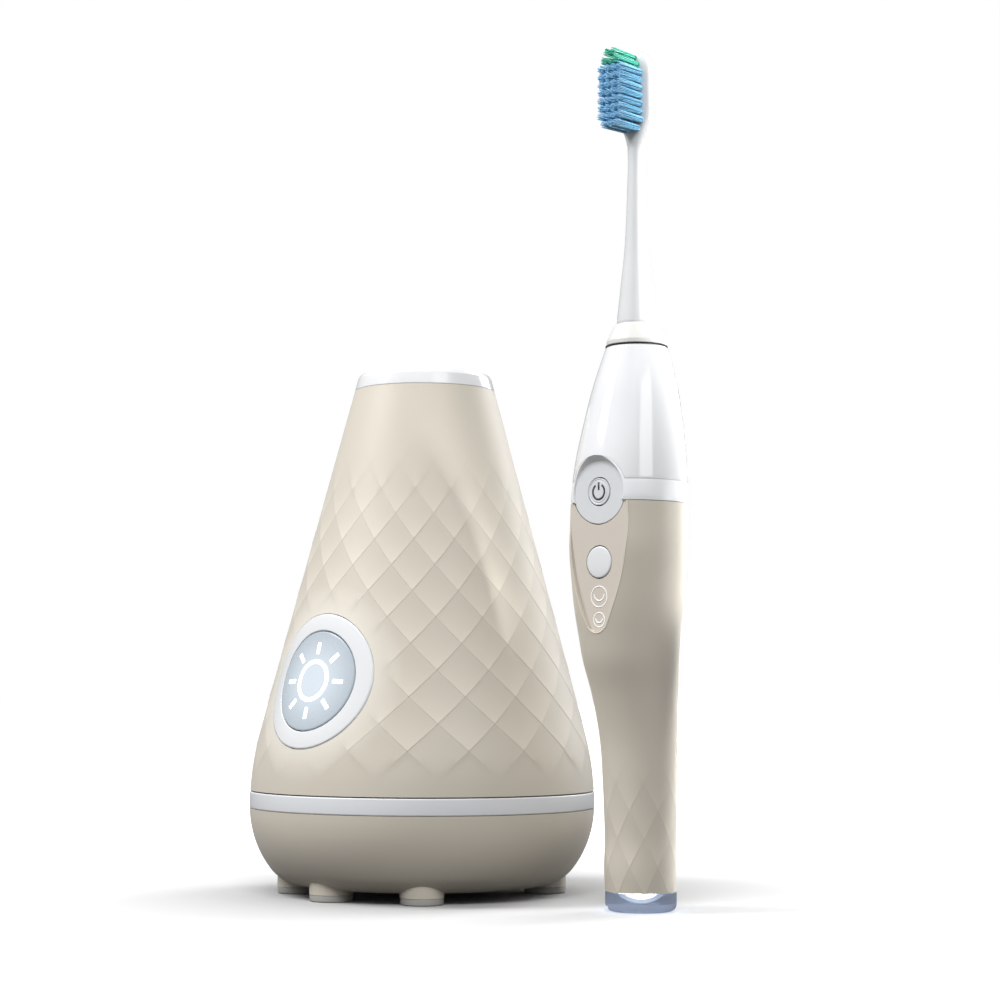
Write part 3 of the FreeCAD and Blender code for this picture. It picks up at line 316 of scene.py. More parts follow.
def piece(name, vertices, faces, material, node, sharp=30.0, lean=None):
    """A piece that stands for a CAD node, rides on its body and keeps its material slot.

    lean gives each vertex a number for a material to shade by.
    """
    mesh = bpy.data.meshes.new(name)
    mesh.from_pydata([tuple(v) for v in vertices], [], faces)
    if lean:
        mesh.attributes.new("lean", "FLOAT", "POINT").data.foreach_set("value", lean)
    mesh.validate()
    shape = bmesh.new()
    shape.from_mesh(mesh)
    bmesh.ops.remove_doubles(shape, verts=shape.verts, dist=1e-7)
    bmesh.ops.dissolve_degenerate(shape, edges=shape.edges, dist=1e-7)
    bmesh.ops.recalc_face_normals(shape, faces=shape.faces)
    shape.to_mesh(mesh)
    shape.free()
    mesh.materials.append(material)
    thing = add_object(name, mesh)
    smooth(thing, sharp)
    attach(thing, node_body[node])
    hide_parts(node)
    return thing


def smooth(thing, sharp):
    thing.data.shade_smooth()
    if sharp:
        thing.data.set_sharp_from_angle(angle=math.radians(sharp))


def grid_faces(rows, columns, closed_columns=False):
    """Faces between rows of vertices. Closed columns join the last column to the first."""
    faces = []
    for i in range(rows - 1):
        for j in range(columns if closed_columns else columns - 1):
            this, above, beside = i * columns, (i + 1) * columns, (j + 1) % columns
            faces.append((this + j, this + beside, above + beside, above + j))
    return faces


def rounded(corners, radii, steps=5):
    """A profile whose corners are turned into short arcs. The ends stay where they are."""
    corners = [Vector(c).to_2d() for c in corners]
    points = [corners[0]]
    for i in range(1, len(corners) - 1):
        radius = radii[i - 1]
        if radius <= 0:
            points.append(corners[i])
            continue
        before, after = corners[i - 1] - corners[i], corners[i + 1] - corners[i]
        half = before.angle(after) / 2
        reach = min(radius / math.tan(half), before.length * 0.49, after.length * 0.49)
        first, last = corners[i] + before.normalized() * reach, corners[i] + after.normalized() * reach
        for n in range(steps + 1):
            f = n / steps
            points.append((1 - f) ** 2 * first + 2 * f * (1 - f) * corners[i] + f * f * last)
    points.append(corners[-1])
    return points


def circle(steps):
    """The sine and cosine of each step round a circle."""
    angles = [2 * math.pi * n / steps for n in range(steps)]
    return [(math.sin(angle), math.cos(angle)) for angle in angles]


def turned(profile, centre, segments=160):
    """Vertices and faces of a profile of (radius, height) turned about an upright axis."""
    vertices = []
    for radius, height in profile:
        for sine, cosine in circle(segments):
            vertices.append((centre[0] + radius * sine, centre[1] - radius * cosine, height))
    return vertices, grid_faces(len(profile), segments, closed_columns=True)


def turned_piece(name, profile, centre, material, node, sharp=35.0, segments=160):
    piece(name, *turned(profile, centre, segments), material, node, sharp)


class Spline:
    """A natural cubic spline through evenly spread samples."""

    def __init__(self, xs, ys):
        self.x, self.y = np.array(xs, float), np.array(ys, float)
        n, h = len(xs), np.diff(self.x)
        matrix, right = np.eye(n), np.zeros(n)
        for i in range(1, n - 1):
            matrix[i, i - 1:i + 2] = h[i - 1], 2 * (h[i - 1] + h[i]), h[i]
            right[i] = 6 * ((self.y[i + 1] - self.y[i]) / h[i] - (self.y[i] - self.y[i - 1]) / h[i - 1])
        self.m = np.linalg.solve(matrix, right)

    def __call__(self, x):
        x = min(max(x, self.x[0]), self.x[-1])
        i = int(min(max(np.searchsorted(self.x, x) - 1, 0), len(self.x) - 2))
        h = self.x[i + 1] - self.x[i]
        a, b = (self.x[i + 1] - x) / h, (x - self.x[i]) / h
        curve = ((a ** 3 - a) * self.m[i] + (b ** 3 - b) * self.m[i + 1]) * h * h / 6
        return float(a * self.y[i] + b * self.y[i + 1] + curve)


def tree_of(*names):
    """A ray-casting tree over some CAD nodes."""
    vertices, faces = [], []
    for name in names:
        mesh = frame["nodes"][name].data
        start = len(vertices)
        vertices += [v.co.copy() for v in mesh.vertices]
        faces += [tuple(start + i for i in p.vertices) for p in mesh.polygons]
    return BVHTree.FromPolygons(vertices, faces)


def reach(tree, centre, height, degrees):
    """How far out a CAD surface stands from an upright axis, in one direction. 0 degrees is the front."""
    out = Vector((math.sin(math.radians(degrees)), -math.cos(math.radians(degrees)), 0))
    middle = Vector((centre[0], centre[1], height))
    hit = tree.ray_cast(middle + out * 0.3, -out)[0]
    return (hit - middle).length


# ---- the station's cone ----

cone_tree = tree_of("outer_shell")
CONE_LOW, CONE_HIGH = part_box("outer_shell")[0].z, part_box("outer_shell")[1].z
cone_heights = np.linspace(CONE_LOW + 0.05 * MM, CONE_HIGH - 0.05 * MM, 26)
cone_radius = Spline(cone_heights, [reach(cone_tree, STATION, z, 180) for z in cone_heights])


def cone_point(degrees, height, lift=0.0):
    angle = math.radians(degrees)
    step = 0.5 * MM
    slope = (cone_radius(height + step) - cone_radius(height - step)) / (2 * step)
    size = math.hypot(1, slope)
    radius = cone_radius(height) + lift / size
    return Vector((STATION[0] + radius * math.sin(angle), STATION[1] - radius * math.cos(angle),
                   height - lift * slope / size))


# The button sits square to the cone at the middle of its lens.
SLOPE_LOW, SLOPE_HIGH = 70 * MM, 140 * MM
CONE_SLOPE = math.atan((cone_radius(SLOPE_LOW) - cone_radius(SLOPE_HIGH)) / (SLOPE_HIGH - SLOPE_LOW))
BEZEL_RADIUS = half_width("button_bezel")
GLOW_REACH = 9 * MM


def button_frame():
    """The button's centre on the cone, its upward direction along the slope and its outward normal."""
    normal = Vector((0, -math.cos(CONE_SLOPE), math.sin(CONE_SLOPE)))
    upward = Vector((0, math.sin(CONE_SLOPE), math.cos(CONE_SLOPE)))
    symbol_low, symbol_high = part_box("button_symbol")
    height = (symbol_low.z + symbol_high.z) / 2
    centre = Vector((STATION[0], STATION[1] - cone_radius(height), height))
    return centre, upward, normal


BUTTON_CENTRE, BUTTON_UP, BUTTON_NORMAL = button_frame()


def on_button(across, along, lift):
    """The point of the cone in front of a place in the button's plane, lifted along the button's normal."""
    point = BUTTON_CENTRE + Vector((across, 0, 0)) + BUTTON_UP * along
    for _ in range(4):
        flat = math.hypot(point.x - STATION[0], point.y - STATION[1])
        point += BUTTON_NORMAL * ((cone_radius(point.z) - flat) * math.cos(CONE_SLOPE))
    return point + BUTTON_NORMAL * lift


def button_ring(profile, segments=128):
    """A ring that follows the cone: a profile of (distance from the centre, lift) swept round the button."""
    vertices = []
    for distance, lift in profile:
        for sine, cosine in circle(segments):
            vertices.append(on_button(distance * sine, distance * cosine, lift))
    return vertices, grid_faces(len(profile), segments, closed_columns=True)


def relief_wall(surface, columns, pitch, tip, low, high, depth, cells=7, edge=0.015):
    """A wall covered in overlapping diamond scales. Each scale leans out towards its lower tip.

    The mesh follows the scales' own edges. surface(degrees, height, lift) places a point, and
    depth(degrees, height) says how far the scales stand out there, from 0 to 1 of RELIEF. The third
    result is how far out each vertex leans.
    """
    fractions = [0.0, edge] + [edge + (1 - edge) * n / (cells - 1) for n in range(1, cells - 1)]
    count = len(fractions)
    half = 180.0 / columns
    vertices, index, faces, lean = [], {}, [], []

    def vertex(i, a, j, b):
        if a == count:
            i, a = i + 1, 0
        if b == count:
            j, b = j + 1, 0
        shift = (i - j) // (2 * columns) * columns
        i, j = i - shift, j + shift
        if (i, a, j, b) not in index:
            p, q = i + fractions[a], j + fractions[b]
            degrees, height = (p - q) * half, tip + (p + q) * pitch / 2
            across = 1.0 if a == 0 else fractions[a]
            along = 1.0 if b == 0 else fractions[b]
            proud = (1 - (across + along) / 2) ** SCALE_CURVE - SCALE_SINK
            height = min(max(height, low), high)
            index[(i, a, j, b)] = len(vertices)
            lean.append(proud * depth(degrees, height))
            vertices.append(surface(degrees, height, RELIEF * lean[-1]))
        return index[(i, a, j, b)]

    rows = range(math.floor((low - tip) / (pitch / 2)) - 2, math.ceil((high - tip) / (pitch / 2)) + 1)
    for v in rows:
        for u in range(2 * columns):
            if (u + v) % 2:
                continue
            i, j = (u + v) // 2, (v - u) // 2
            for a in range(count):
                for b in range(count):
                    corners = [vertex(i, a, j, b), vertex(i, a + 1, j, b), vertex(i, a + 1, j, b + 1),
                               vertex(i, a, j, b + 1)]
                    levels = [vertices[c].z for c in corners]
                    if max(levels) > low + 1e-7 and min(levels) < high - 1e-7:
                        faces.append(tuple(corners))
    return vertices, faces, lean


def ease(value, start, end):
    """Rises smoothly from 0 at the start to 1 at the end."""
    f = min(max((value - start) / (end - start), 0.0), 1.0)
    return f * f * (3 - 2 * f)


def thicken(thing, thickness):
    """Turns a surface into a wall, inwards."""
    modifier = thing.modifiers.new("wall", "SOLIDIFY")
    modifier.thickness = thickness
    modifier.offset = -1
    apply_modifiers(thing)


def apply_modifiers(thing):
    bpy.context.view_layer.update()
    graph = bpy.context.evaluated_depsgraph_get()
    mesh = bpy.data.meshes.new_from_object(thing.evaluated_get(graph), depsgraph=graph)
    thing.modifiers.clear()
    thing.data = mesh


def carve(thing, *tools):
    """Cuts closed tools out of a closed piece."""
    for vertices, faces in tools:
        mesh = bpy.data.meshes.new("tool")
        mesh.from_pydata([tuple(v) for v in vertices], [], faces)
        shape = bmesh.new()
        shape.from_mesh(mesh)
        bmesh.ops.recalc_face_normals(shape, faces=shape.faces)
        shape.to_mesh(mesh)
        shape.free()
        tool = add_object("tool", mesh)
        modifier = thing.modifiers.new("cut", "BOOLEAN")
        modifier.operation = "DIFFERENCE"
        modifier.solver = "EXACT"
        modifier.object = tool
        apply_modifiers(thing)
        bpy.data.objects.remove(tool)


def prism(outline, start, end):
    """A closed prism between two copies of an outline of points, each moved by a vector."""
    n = len(outline)
    vertices = [p + start for p in outline] + [p + end for p in outline]
    faces = [tuple(range(n)), tuple(range(2 * n - 1, n - 1, -1))]
    faces += [(i, (i + 1) % n, n + (i + 1) % n, n + i) for i in range(n)]
    return vertices, faces


def circle_outline(centre, right, up, radius, segments=128):
    return [centre + right * (radius * cosine) + up * (radius * sine) for sine, cosine in circle(segments)]


CONE_COLUMNS = 18
CONE_PITCH = 15.05 * MM
CONE_TIP = 43.05 * MM


def cone_depth(degrees, height):
    """The scales fade out towards the rim, the band and the button."""
    point = cone_point(degrees, height)
    gap = (point - BUTTON_CENTRE).length
    near = ease(gap, BEZEL_RADIUS + 1 * MM, BEZEL_RADIUS + GLOW_REACH)
    return near * ease(height, 0.034, 0.046) * (1 - ease(height, 0.100, 0.134))


def make_outer_shell():
    vertices, faces, lean = relief_wall(cone_point, CONE_COLUMNS, CONE_PITCH, CONE_TIP, CONE_LOW + 0.25 * MM,
                                        CONE_HIGH, cone_depth)
    # Painted glow on the shell round the button: emission that fades out with distance from the bezel.
    paint_glow_from(scaled_beige, BUTTON_CENTRE, BEZEL_RADIUS, BEZEL_RADIUS + GLOW_REACH, 0.14, 0.0, (0.9, 0.95, 1.0))
    shell = piece("shell_scales", vertices, faces, scaled_beige, "outer_shell", 0, lean)
    thicken(shell, 1.9 * MM)
    hole = circle_outline(BUTTON_CENTRE, Vector((1, 0, 0)), BUTTON_UP, BEZEL_RADIUS + 0.2 * MM)
    carve(shell, prism(hole, BUTTON_NORMAL * -0.014, BUTTON_NORMAL * 0.01))
    smooth(shell, 11.0)


BAND_DEPTH = 2.9 * MM
MOUTH_RADIUS = 17.8 * MM
FOOT_RADIUS = 6.2 * MM
FOOT_CIRCLE = 36.6 * MM
FOOT_ANGLES = (0, 45, -45, 135, -135)
SYMBOL_RAYS = 8
BUTTON_GAP = 0.3 * MM


def make_station_trim():
    low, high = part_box("trim_band")
    outer = (high.x - low.x) / 2
    inner = outer - BAND_DEPTH
    profile = rounded([(inner, low.z + 0.1 * MM), (outer, low.z + 0.1 * MM), (outer, high.z - 0.1 * MM),
                       (inner, high.z - 0.1 * MM)], [0.45 * MM, 0.45 * MM])
    turned_piece("trim_band_ring", profile, STATION, band_grey, "trim_band", 35, 256)
    low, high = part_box("top_rim")
    outer = (high.x - low.x) / 2
    foot = CONE_HIGH + 0.05 * MM
    profile = rounded([(MOUTH_RADIUS, low.z), (MOUTH_RADIUS, high.z - 0.3 * MM),
                       (MOUTH_RADIUS + 1.2 * MM, high.z), (outer - 1.7 * MM, high.z),
                       (outer - 0.95 * MM, high.z - 1.2 * MM), (outer - 0.02 * MM, foot),
                       (outer - 2.2 * MM, foot), (outer - 2.2 * MM, low.z)],
                      [0.6 * MM, 0.5 * MM, 0.6 * MM, 0.6 * MM, 0.25 * MM, 0, 0])
    turned_piece("rim_ring", profile, STATION, satin_white, "top_rim", 35, 256)


def make_feet():
    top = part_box("foot_pads")[1].z
    profile = rounded([(0, 0), (FOOT_RADIUS, 0), (FOOT_RADIUS, top), (0, top)], [0.5 * MM, 0.3 * MM])
    pads = []
    for degrees in FOOT_ANGLES:
        angle = math.radians(degrees)
        centre = (STATION[0] + FOOT_CIRCLE * math.sin(angle), STATION[1] - FOOT_CIRCLE * math.cos(angle))
        pads.append(turned(profile, centre, 64))
    piece("foot_pad_set", *joined(pads), rubber_grey, "foot_pads", 35)


def make_station_button():
    lens = half_width("button_lens")
    inner = lens + BUTTON_GAP
    proud = 0.25 * MM
    profile = rounded([(inner, -2 * MM), (inner, proud), (BEZEL_RADIUS, proud), (BEZEL_RADIUS, -2 * MM)],
                      [0.35 * MM, 0.5 * MM])
    piece("bezel_ring", *button_ring(profile), gloss_white, "button_bezel", 35)
    profile = [(0.01 * MM, proud)] + [(lens * f, proud) for f in (0.15, 0.3, 0.45, 0.6, 0.75, 0.88)]
    profile += rounded([(lens * 0.95, proud), (lens, proud), (lens, -1.8 * MM)], [0.35 * MM])
    # Painted glow in the lens: emission that fades out from the button's middle towards its edge.
    paint_glow_from(lens_grey, BUTTON_CENTRE, 0.004, 0.0148, 0.3, 0.03, (0.86, 0.93, 1.0))
    piece("lens_disc", *button_ring(profile), lens_grey, "button_lens", 35)
    make_symbol(proud)


def flat_strip(across, along, place, thickness):
    """A thin raised strip: pairs of points on its two sides, placed on a surface."""
    vertices, faces = [], []
    for (x0, z0), (x1, z1) in zip(across, along):
        vertices += [place(x0, z0, 0), place(x0, z0, thickness), place(x1, z1, thickness), place(x1, z1, 0)]
    n = len(across)
    for i in range(n - 1):
        for k in range(3):
            faces.append((4 * i + k, 4 * i + 4 + k, 4 * i + 5 + k, 4 * i + 1 + k))
    faces += [(0, 1, 2, 3), (4 * n - 4, 4 * n - 3, 4 * n - 2, 4 * n - 1)]
    return vertices, faces


def arc_strip(radius, stroke, start, end, place, thickness, centre=(0.0, 0.0), steps=72):
    """A strip along an arc. Degrees run clockwise from straight up."""
    outer, inner = [], []
    for n in range(steps + 1):
        angle = math.radians(start + (end - start) * n / steps)
        for side, half in ((outer, stroke / 2), (inner, -stroke / 2)):
            distance = radius + half
            side.append((centre[0] + distance * math.sin(angle), centre[1] + distance * math.cos(angle)))
    return flat_strip(outer, inner, place, thickness)


def bar_strip(first, last, stroke, place, thickness):
    """A straight strip between two points."""
    first, last = Vector(first), Vector(last)
    along = (last - first).normalized()
    side = Vector((-along.y, along.x)) * stroke / 2
    return flat_strip([first + side, last + side], [first - side, last - side], place, thickness)


def joined(parts):
    """One list of vertices and faces out of several."""
    vertices, faces = [], []
    for more, sides in parts:
        faces += [tuple(len(vertices) + i for i in f) for f in sides]
        vertices += more
    return vertices, faces


def make_symbol(proud):
    """The lit mark on the lens: a ring with short rays round it."""
    def place(x, z, lift):
        return on_button(x, z, proud - 0.05 * MM + lift)

    stroke, thickness = 1.1 * MM, 0.12 * MM
    parts = [arc_strip(5.6 * MM, stroke, 0, 360, place, thickness)]
    for out in map(Vector, circle(SYMBOL_RAYS)):
        parts.append(bar_strip(out * 7.9 * MM, out * 11.2 * MM, stroke, place, thickness))
    piece("lamp_symbol", *joined(parts), symbol_lit, "button_symbol", 35)


# ---- the toothbrush's handle ----

HANDLE_GAP = 0.04 * MM
COLLAR_HEIGHT = 5.8 * MM
handle_tree = tree_of("grip_shell", "control_collar", "upper_housing")
GRIP_LOW, GRIP_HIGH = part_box("grip_shell")[0].z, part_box("grip_shell")[1].z
HOUSING_LOW, HOUSING_HIGH = GRIP_HIGH + COLLAR_HEIGHT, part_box("upper_housing")[1].z


def handle_section(height):
    """Radius and setback of the handle's round section, from the CAD solids' back and side."""
    back, side = reach(handle_tree, BRUSH, height, 180), reach(handle_tree, BRUSH, height, 120)
    setback = (back * back - side * side) / (2 * back - side)
    return back - setback, setback


handle_heights = np.linspace(GRIP_LOW + 0.1 * MM, HOUSING_HIGH - 0.1 * MM, 25)
handle_sections = [handle_section(z) for z in handle_heights]
handle_radius = Spline(handle_heights, [radius - HANDLE_GAP for radius, setback in handle_sections])
handle_setback = Spline(handle_heights, [setback for radius, setback in handle_sections])


def handle_point(degrees, height, lift=0.0):
    angle = math.radians(degrees)
    radius = handle_radius(height) + lift
    across, ahead = radius * math.sin(angle), radius * math.cos(angle)
    return Vector((BRUSH[0] + across, BRUSH[1] + handle_setback(height) - ahead, height))


def front_point(across, height, lift=0.0):
    """The handle's front surface at a place seen straight from the front."""
    radius = handle_radius(height) + lift
    depth = math.sqrt(max(radius * radius - across * across, 0.0))
    return Vector((BRUSH[0] + across, BRUSH[1] + handle_setback(height) - depth, height))


def face_point(across, height, lift=0.0):
    """A place on the flat face that carries the controls."""
    return Vector((BRUSH[0] + across, CONTROL_FACE - lift, height))


def face_ring(profile, centre_z, segments=96):
    """A round piece on the controls' face: a profile of (distance, lift) turned about a centre height."""
    vertices = []
    for distance, lift in profile:
        for sine, cosine in circle(segments):
            vertices.append(face_point(distance * sine, centre_z + distance * cosine, lift))
    return vertices, grid_faces(len(profile), segments, closed_columns=True)


GRIP_COLUMNS = 8
GRIP_PITCH = 15.2 * MM
GRIP_TIP = 20.0 * MM


def grip_depth(degrees, height):
    """The grip's scales are shallower and fade out above its foot."""
    return 0.7 * (1 - ease(height, 0.024, 0.044))


pad_low, pad_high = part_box("control_collar")
PAD_RADIUS = (pad_high.z - pad_low.z) / 2
PAD_Z = (pad_high.z + pad_low.z) / 2
panel_low, panel_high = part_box("control_panel")
PANEL_HALF = (panel_high.x - panel_low.x) / 2
PANEL_TIP = panel_low.z
CONTROL_FACE = panel_low.y
ORIGIN, RIGHT, UP = Vector((0, 0, 0)), Vector((1, 0, 0)), Vector((0, 0, 1))
FORWARD = Vector((0, -0.03, 0))


def panel_half(height):
    """Half the control panel's width at a height: long curved sides that close in a round tip."""
    bend, tip_half, tip_z = 62 * MM, 3.1 * MM, PANEL_TIP + 1.4 * MM
    if height < tip_z:
        sag = 3.4 * MM
        return math.sqrt(max(sag * sag - (PANEL_TIP + sag - height) ** 2, 0.0)) * tip_half / (3.05 * MM)
    low, high = Vector((tip_half, tip_z)), Vector((PANEL_HALF, GRIP_HIGH))
    chord = high - low
    rise = math.sqrt(bend * bend - (chord.length / 2) ** 2)
    centre = (low + high) / 2 + Vector((-chord.y, chord.x)).normalized() * rise
    return centre.x + math.sqrt(max(bend * bend - (height - centre.y) ** 2, 0.0))


def panel_outline(grow=0.0, top=None, steps=40):
    """Points round the panel, from its top right corner down and back up."""
    top = top or GRIP_HIGH
    span = top - PANEL_TIP
    heights = [PANEL_TIP + span * (1 - math.cos(math.pi / 2 * n / steps)) for n in range(steps, -1, -1)]
    right = [(panel_half(z) + grow, z) for z in heights[:-1]]
    left = [(-x, z) for x, z in reversed(right)]
    return right + [(0.0, PANEL_TIP - grow)] + left


def control_axis(height):
    """A point inside the handle, level with the controls' face's middle at a height."""
    return Vector((BRUSH[0], CONTROL_FACE + 6 * MM, height))


def pad_circle(radius):
    return circle_outline(control_axis(PAD_Z), RIGHT, UP, radius)


def forward_cut(outline):
    """A tool that runs from an outline on the controls' axis out through the handle's front."""
    return prism(outline, ORIGIN, FORWARD)


def make_grip():
    vertices, faces, lean = relief_wall(handle_point, GRIP_COLUMNS, GRIP_PITCH, GRIP_TIP, GRIP_LOW + 0.05 * MM,
                                        GRIP_HIGH - 0.12 * MM, grip_depth)
    grip = piece("grip_scales", vertices, faces, scaled_beige, "grip_shell", 0, lean)
    thicken(grip, 1.75 * MM)
    outline = [control_axis(0) + Vector((x, 0, z)) for x, z in panel_outline(top=GRIP_HIGH + 2 * MM)]
    carve(grip, forward_cut(outline), forward_cut(pad_circle(PAD_RADIUS + 0.12 * MM)))
    smooth(grip, 11.0)
    make_panel()


def make_panel():
    """The flat drop-shaped plate, with the mode button and its two marks."""
    rows, columns = 60, 15
    vertices = []
    for i in range(rows):
        z = PANEL_TIP + 0.02 * MM + (GRIP_HIGH - PANEL_TIP - 0.1 * MM) * i / (rows - 1)
        half = panel_half(z) + 0.04 * MM
        vertices += [face_point(half * (2 * j / (columns - 1) - 1), z) for j in range(columns)]
    sheet = piece("panel_face", vertices, grid_faces(rows, columns), panel_beige, "control_panel", 0)
    mode_low, mode_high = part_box("mode_button")
    mode_z, mode = (mode_low.z + mode_high.z) / 2, (mode_high.z - mode_low.z) / 2
    thicken(sheet, 1.0 * MM)
    hole = circle_outline(control_axis(mode_z), RIGHT, UP, mode + BUTTON_GAP)
    carve(sheet, forward_cut(hole), forward_cut(pad_circle(PAD_RADIUS + 0.15 * MM)))
    smooth(sheet, 30)
    make_panel_edge()
    profile = [(0.01 * MM, 0.36 * MM), (mode * 0.4, 0.35 * MM), (mode * 0.7, 0.31 * MM)]
    profile += rounded([(mode * 0.85, 0.27 * MM), (mode, 0.2 * MM), (mode, -1.0 * MM)], [0.4 * MM])
    piece("mode_button_face", *face_ring(profile, mode_z), gloss_white, "mode_button", 35)
    make_mode_icons()


def make_panel_edge():
    """The rounded lip round the panel."""
    outline = panel_outline(grow=0.08 * MM, top=GRIP_HIGH - 0.4 * MM, steps=60)
    ring, size, sides, sink = [], 0.2 * MM, 8, -0.12 * MM
    for k, (x, z) in enumerate(outline):
        before, after = outline[max(k - 1, 0)], outline[min(k + 1, len(outline) - 1)]
        centre = front_point(x, z, sink)
        along = (front_point(*after, sink) - front_point(*before, sink)).normalized()
        radial = (centre - Vector((BRUSH[0], BRUSH[1] + handle_setback(z), z))).normalized()
        side = along.cross(radial).normalized()
        for sine, cosine in circle(sides):
            ring.append(centre + side * (size * cosine) + radial * (size * sine))
    piece("panel_lip", ring, grid_faces(len(outline), sides, closed_columns=True), soft_beige, "grip_shell", 0)


def make_mode_icons():
    """Two marks under the mode button: a ring round a curved line, large and small."""
    def place(x, z, lift):
        return face_point(x, z, 0.02 * MM + lift)

    low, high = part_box("mode_icons")
    parts, stroke, thickness = [], 0.28 * MM, 0.05 * MM
    for radius, z in ((2.8 * MM, high.z - 2.9 * MM), (1.95 * MM, low.z + 2.0 * MM)):
        parts.append(arc_strip(radius, stroke, 0, 360, place, thickness, (0.0, z)))
        middle = (0.0, z + radius * 0.22)
        parts.append(arc_strip(radius * 0.62, stroke * 1.3, 90, 270, place, thickness, middle))
    piece("mode_marks", *joined(parts), pale_print_painted_glow, "mode_icons", 0)


def handle_wrap(heights, lifts, segments=160):
    """A surface round the handle. Each height has a lift in millimetres."""
    vertices = []
    for z, lift in zip(heights, lifts):
        vertices += [handle_point(360 * n / segments, z, lift * MM) for n in range(segments)]
    return vertices, grid_faces(len(heights), segments, closed_columns=True)


def make_collar():
    lifts = [-0.15, -0.04, 0, 0, 0, 0, 0, -0.01, -0.05]
    heights = np.linspace(GRIP_HIGH + 0.06 * MM, HOUSING_LOW - 0.02 * MM, len(lifts))
    band = piece("collar_band", *handle_wrap(heights, lifts), collar_grey, "control_collar", 40)
    thicken(band, 1.6 * MM)
    carve(band, forward_cut(pad_circle(PAD_RADIUS)))
    smooth(band, 40)
    make_pad()
    make_pad_rim()


def make_pad():
    """The flat round pad with the power button in it."""
    power_low, power_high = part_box("power_button")
    power_z, power = (power_low.z + power_high.z) / 2, (power_high.z - power_low.z) / 2
    hole, offset = power + BUTTON_GAP, power_z - PAD_Z
    vertices, segments = [], 128
    edge = PAD_RADIUS - 0.05 * MM
    rows = [(hole, -1.2 * MM, 1), (hole, -0.1 * MM, 1), (hole + 0.1 * MM, 0, 1), (edge - 0.15 * MM, 0, 0),
            (edge, -0.15 * MM, 0), (edge, -1.2 * MM, 0)]
    for distance, lift, inner in rows:
        for sine, cosine in circle(segments):
            vertices.append(face_point(distance * sine, PAD_Z + offset * inner + distance * cosine, lift))
    faces = grid_faces(len(rows), segments, closed_columns=True)
    piece("collar_pad", vertices, faces, pad_grey_painted_shade, "control_collar", 24)
    make_power_button(power, power_z)


def make_power_button(power, power_z):
    """The button's face, with a shallow groove near its edge and the dark power mark."""
    proud = 0.15 * MM
    groove = proud - 0.12 * MM
    profile = [(0.01 * MM, proud), (power * 0.78, proud), (power * 0.82, groove), (power * 0.88, groove)]
    profile += rounded([(power * 0.92, proud), (power, proud), (power, -1.0 * MM)], [0.2 * MM])
    piece("power_button_face", *face_ring(profile, power_z), pad_grey_painted_shade, "power_button", 30)

    def place(x, z, lift):
        return face_point(x, z, proud + 0.01 * MM + lift)

    stroke, ring, thickness = 0.55 * MM, 2.05 * MM, 0.06 * MM
    parts = [arc_strip(ring, stroke, 32, 328, place, thickness, (0.0, power_z)),
             bar_strip((0, power_z + 0.5 * MM), (0, power_z + 2.6 * MM), stroke, place, thickness)]
    piece("power_mark", *joined(parts), dark_print, "power_symbol", 0)


PAD_SLOPE = 0.65 * MM
PAD_CLIMB = 1.5 * MM


def pad_wall(angle, rise):
    """A point of the sloping wall above the pad. It widens and climbs as it rises from the pad's face."""
    grow = PAD_SLOPE * (rise / PAD_CLIMB - 1)
    radius = PAD_RADIUS + grow
    return face_point(radius * math.sin(angle), PAD_Z + grow + radius * math.cos(angle), rise)


def surface_rise(point):
    """How far the handle's surface stands in front of the controls' face there."""
    return CONTROL_FACE - front_point(point.x - BRUSH[0], point.z, -0.06 * MM).y


def make_pad_rim():
    """The crescent slope that climbs from the pad's upper edge to the housing's surface."""
    edge = PAD_RADIUS - 0.02 * MM
    back = Vector((0, 0.8 * MM, 0))
    sweep = math.degrees(math.acos((GRIP_HIGH - PAD_Z) / PAD_RADIUS)) - 2.0
    vertices, steps = [], 90
    for n in range(steps + 1):
        angle = math.radians(sweep * (2 * n / steps - 1))
        rise = PAD_CLIMB / 2
        for _ in range(8):
            rise = min(surface_rise(pad_wall(angle, rise)), PAD_CLIMB)
        foot, outer = pad_wall(angle, 0), face_point(edge * math.sin(angle), PAD_Z + edge * math.cos(angle))
        top = outer + Vector((0, -surface_rise(outer), 0))
        vertices += [foot + back, foot, pad_wall(angle, rise), top, outer + back]
    faces = grid_faces(steps + 1, 5, closed_columns=True)
    faces += [tuple(range(5)), tuple(range(5 * steps, 5 * steps + 5))]
    piece("pad_slope", vertices, faces, collar_grey, "control_collar", 30)


def make_upper_housing():
    low, high = HOUSING_LOW + 0.02 * MM, HOUSING_HIGH
    heights = [low, low + 0.15 * MM, low + 0.4 * MM] + list(np.linspace(low + 1 * MM, high - 0.8 * MM, 60))
    heights += [high - 0.4 * MM, high - 0.1 * MM, high]
    lifts = [-0.1, -0.03, 0] + [0] * 60 + [-0.03, -0.12, -0.3]
    housing = piece("housing_gloss", *handle_wrap(heights, lifts), gloss_white, "upper_housing", 0)
    thicken(housing, 1.7 * MM)
    carve(housing, forward_cut(pad_circle(PAD_RADIUS + 0.08 * MM)))
    smooth(housing, 40)


DOME_SCALE = 1.3


